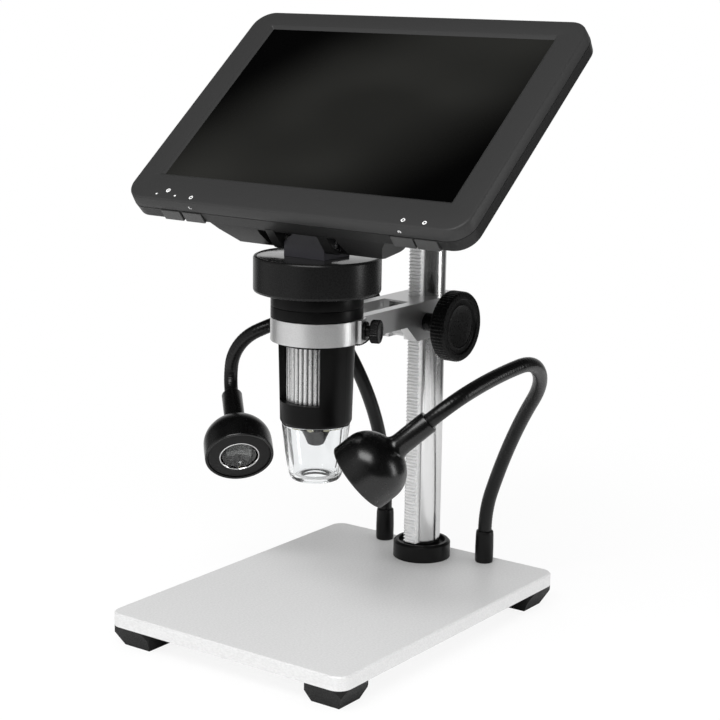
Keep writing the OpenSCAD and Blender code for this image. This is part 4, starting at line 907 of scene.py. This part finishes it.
shade_paint = finish("shade_paint", grey(0.001), roughness=0.27, Specular_IOR_Level=0.45)
grain(shade_paint, size=0.003, rough=(0.25, 0.28))
insert_plastic = finish("insert_plastic", grey(0.006), Specular_IOR_Level=0.25)
grain(insert_plastic, size=0.0005, depth=0.00001, rough=(0.42, 0.6))
chrome = finish("reflector_chrome", grey(0.82), metallic=1.0, roughness=0.06)
grain(chrome, size=0.002, depth=0.00001, rough=(0.04, 0.1))
# Painted shade: a dark copy of the chrome for the reflector's deep dish
dish_chrome_painted_shade = finish("shaded_chrome", grey(0.09), metallic=1.0, roughness=0.1)
grain(dish_chrome_painted_shade, size=0.002, depth=0.00001, rough=(0.06, 0.16))
phosphor = finish("led_phosphor", (0.75, 0.6, 0.12))
grain(phosphor, size=0.0003, depth=0.00001, rough=(0.4, 0.6))
lamp_glass = finish("lamp_glass", (0.96, 0.98, 0.97), roughness=0.02, Transmission_Weight=1.0, IOR=1.45)
grain(lamp_glass, size=0.003, depth=0.000004, rough=(0.01, 0.04))


def through(points):
    """A smooth line through points (Catmull-Rom)."""
    steps = 4
    last = len(points) - 1
    made = []
    for i in range(last):
        p0, p1, p2, p3 = (Vector(points[max(0, min(last, i + k))]) for k in (-1, 0, 1, 2))
        for k in range(steps):
            t = k / steps
            twice = 2 * p1 + (p2 - p0) * t
            twice += (2 * p0 - 5 * p1 + 4 * p2 - p3) * t * t
            twice += (3 * p1 - p0 - 3 * p2 + p3) * t ** 3
            made.append((twice.x / 2, twice.y / 2))
    return made + [tuple(points[-1])]


# All profiles below run from the lamp's rim, at 0, back along it
bell = [
    (15.72, 2), (15.75, 5), (15.7, 8), (15.52, 10), (14.96, 12), (13.98, 14), (12.48, 16),
    (10.88, 17.5), (9.0, 18.8), (7.45, 19.6), (6.3, 20.15), (5.6, 20.8), (5.15, 21.6),
    (4.9, 22.6), (4.8, 24),
]
bell_inside = [
    (14.5, 7.5), (14.45, 9), (14.04, 11), (13.16, 13), (11.73, 15), (10.15, 16.5),
    (8.22, 17.8), (6.07, 18.8), (4.2, 19.6),
]
rolled_rim = [(14.5, 0.2), (14.8, 0), (15.45, 0), (15.65, 0.2), (15.72, 0.7)]
socket = [(4.8, 38.1), (4.65, 38.45), (4.35, 38.6), (3.3, 38.6), (3.3, 31.6), (0, 31.6), (0, 22.5)]
shade_profile = rolled_rim + through(bell) + socket + through(bell_inside)[::-1]
insert_profile = [(8.7, 0.6), (9.2, 0.35), (14.1, 0.55), (14.45, 0.85), (14.45, 2.2), (8.7, 2.2)]
dish = through([(8.5, 0.35), (8.25, 1.7), (7.2, 3.8), (5.6, 5.6), (3.4, 7.0), (1.6, 7.5)])
dish_back = [(r + 0.35, z + 0.3) for r, z in dish] + [(0, 8.1)]
reflector_profile = [(9.1, 0.2), (9.1, 0.55), (8.7, 0.65), *dish_back, (0, 7.55), *dish[::-1], (8.65, 0.1)]
die_profile = [(0, 7.6), (1.5, 7.6), (1.5, 6.9), (0.9, 6.4), (0, 6.3)]
lens_profile = [(0, 0.75), (7.9, 0.75), (7.9, 1.3), (0, 1.55)]
shaded_from = 0.9

for name in ("right", "left"):
    head, rim = f"lamp_{name}_head", rims[name]
    shade = turned(shade_profile, rim, sides=128)
    piece_of("bell_" + name, shade, shade_paint, head, [f"lamp_{name}_shade"], smooth=40)
    insert = turned(eased(insert_profile, radius=0.2), rim)
    piece_of("pressed_ring_" + name, insert, insert_plastic, head, [f"lamp_{name}_insert"])
    bowl = turned(reflector_profile, rim)
    # Faces deeper than shaded_from get the dark chrome: painted shade
    for facet in bowl.faces:
        deep = (rim.inverted() @ (facet.calc_center_median() / mm)).z > shaded_from
        facet.material_index = 1 if deep else 0
    piece_of(
        "dish_" + name, bowl, [chrome, dish_chrome_painted_shade], head,
        [f"lamp_{name}_reflector"], smooth=50,
    )
    die = turned(eased(die_profile, radius=0.15), rim, sides=32)
    piece_of("led_die_" + name, die, phosphor, head)
    glass = turned(eased(lens_profile, radius=0.15), rim)
    piece_of("lens_" + name, glass, lamp_glass, head, [f"lamp_{name}_lens"])
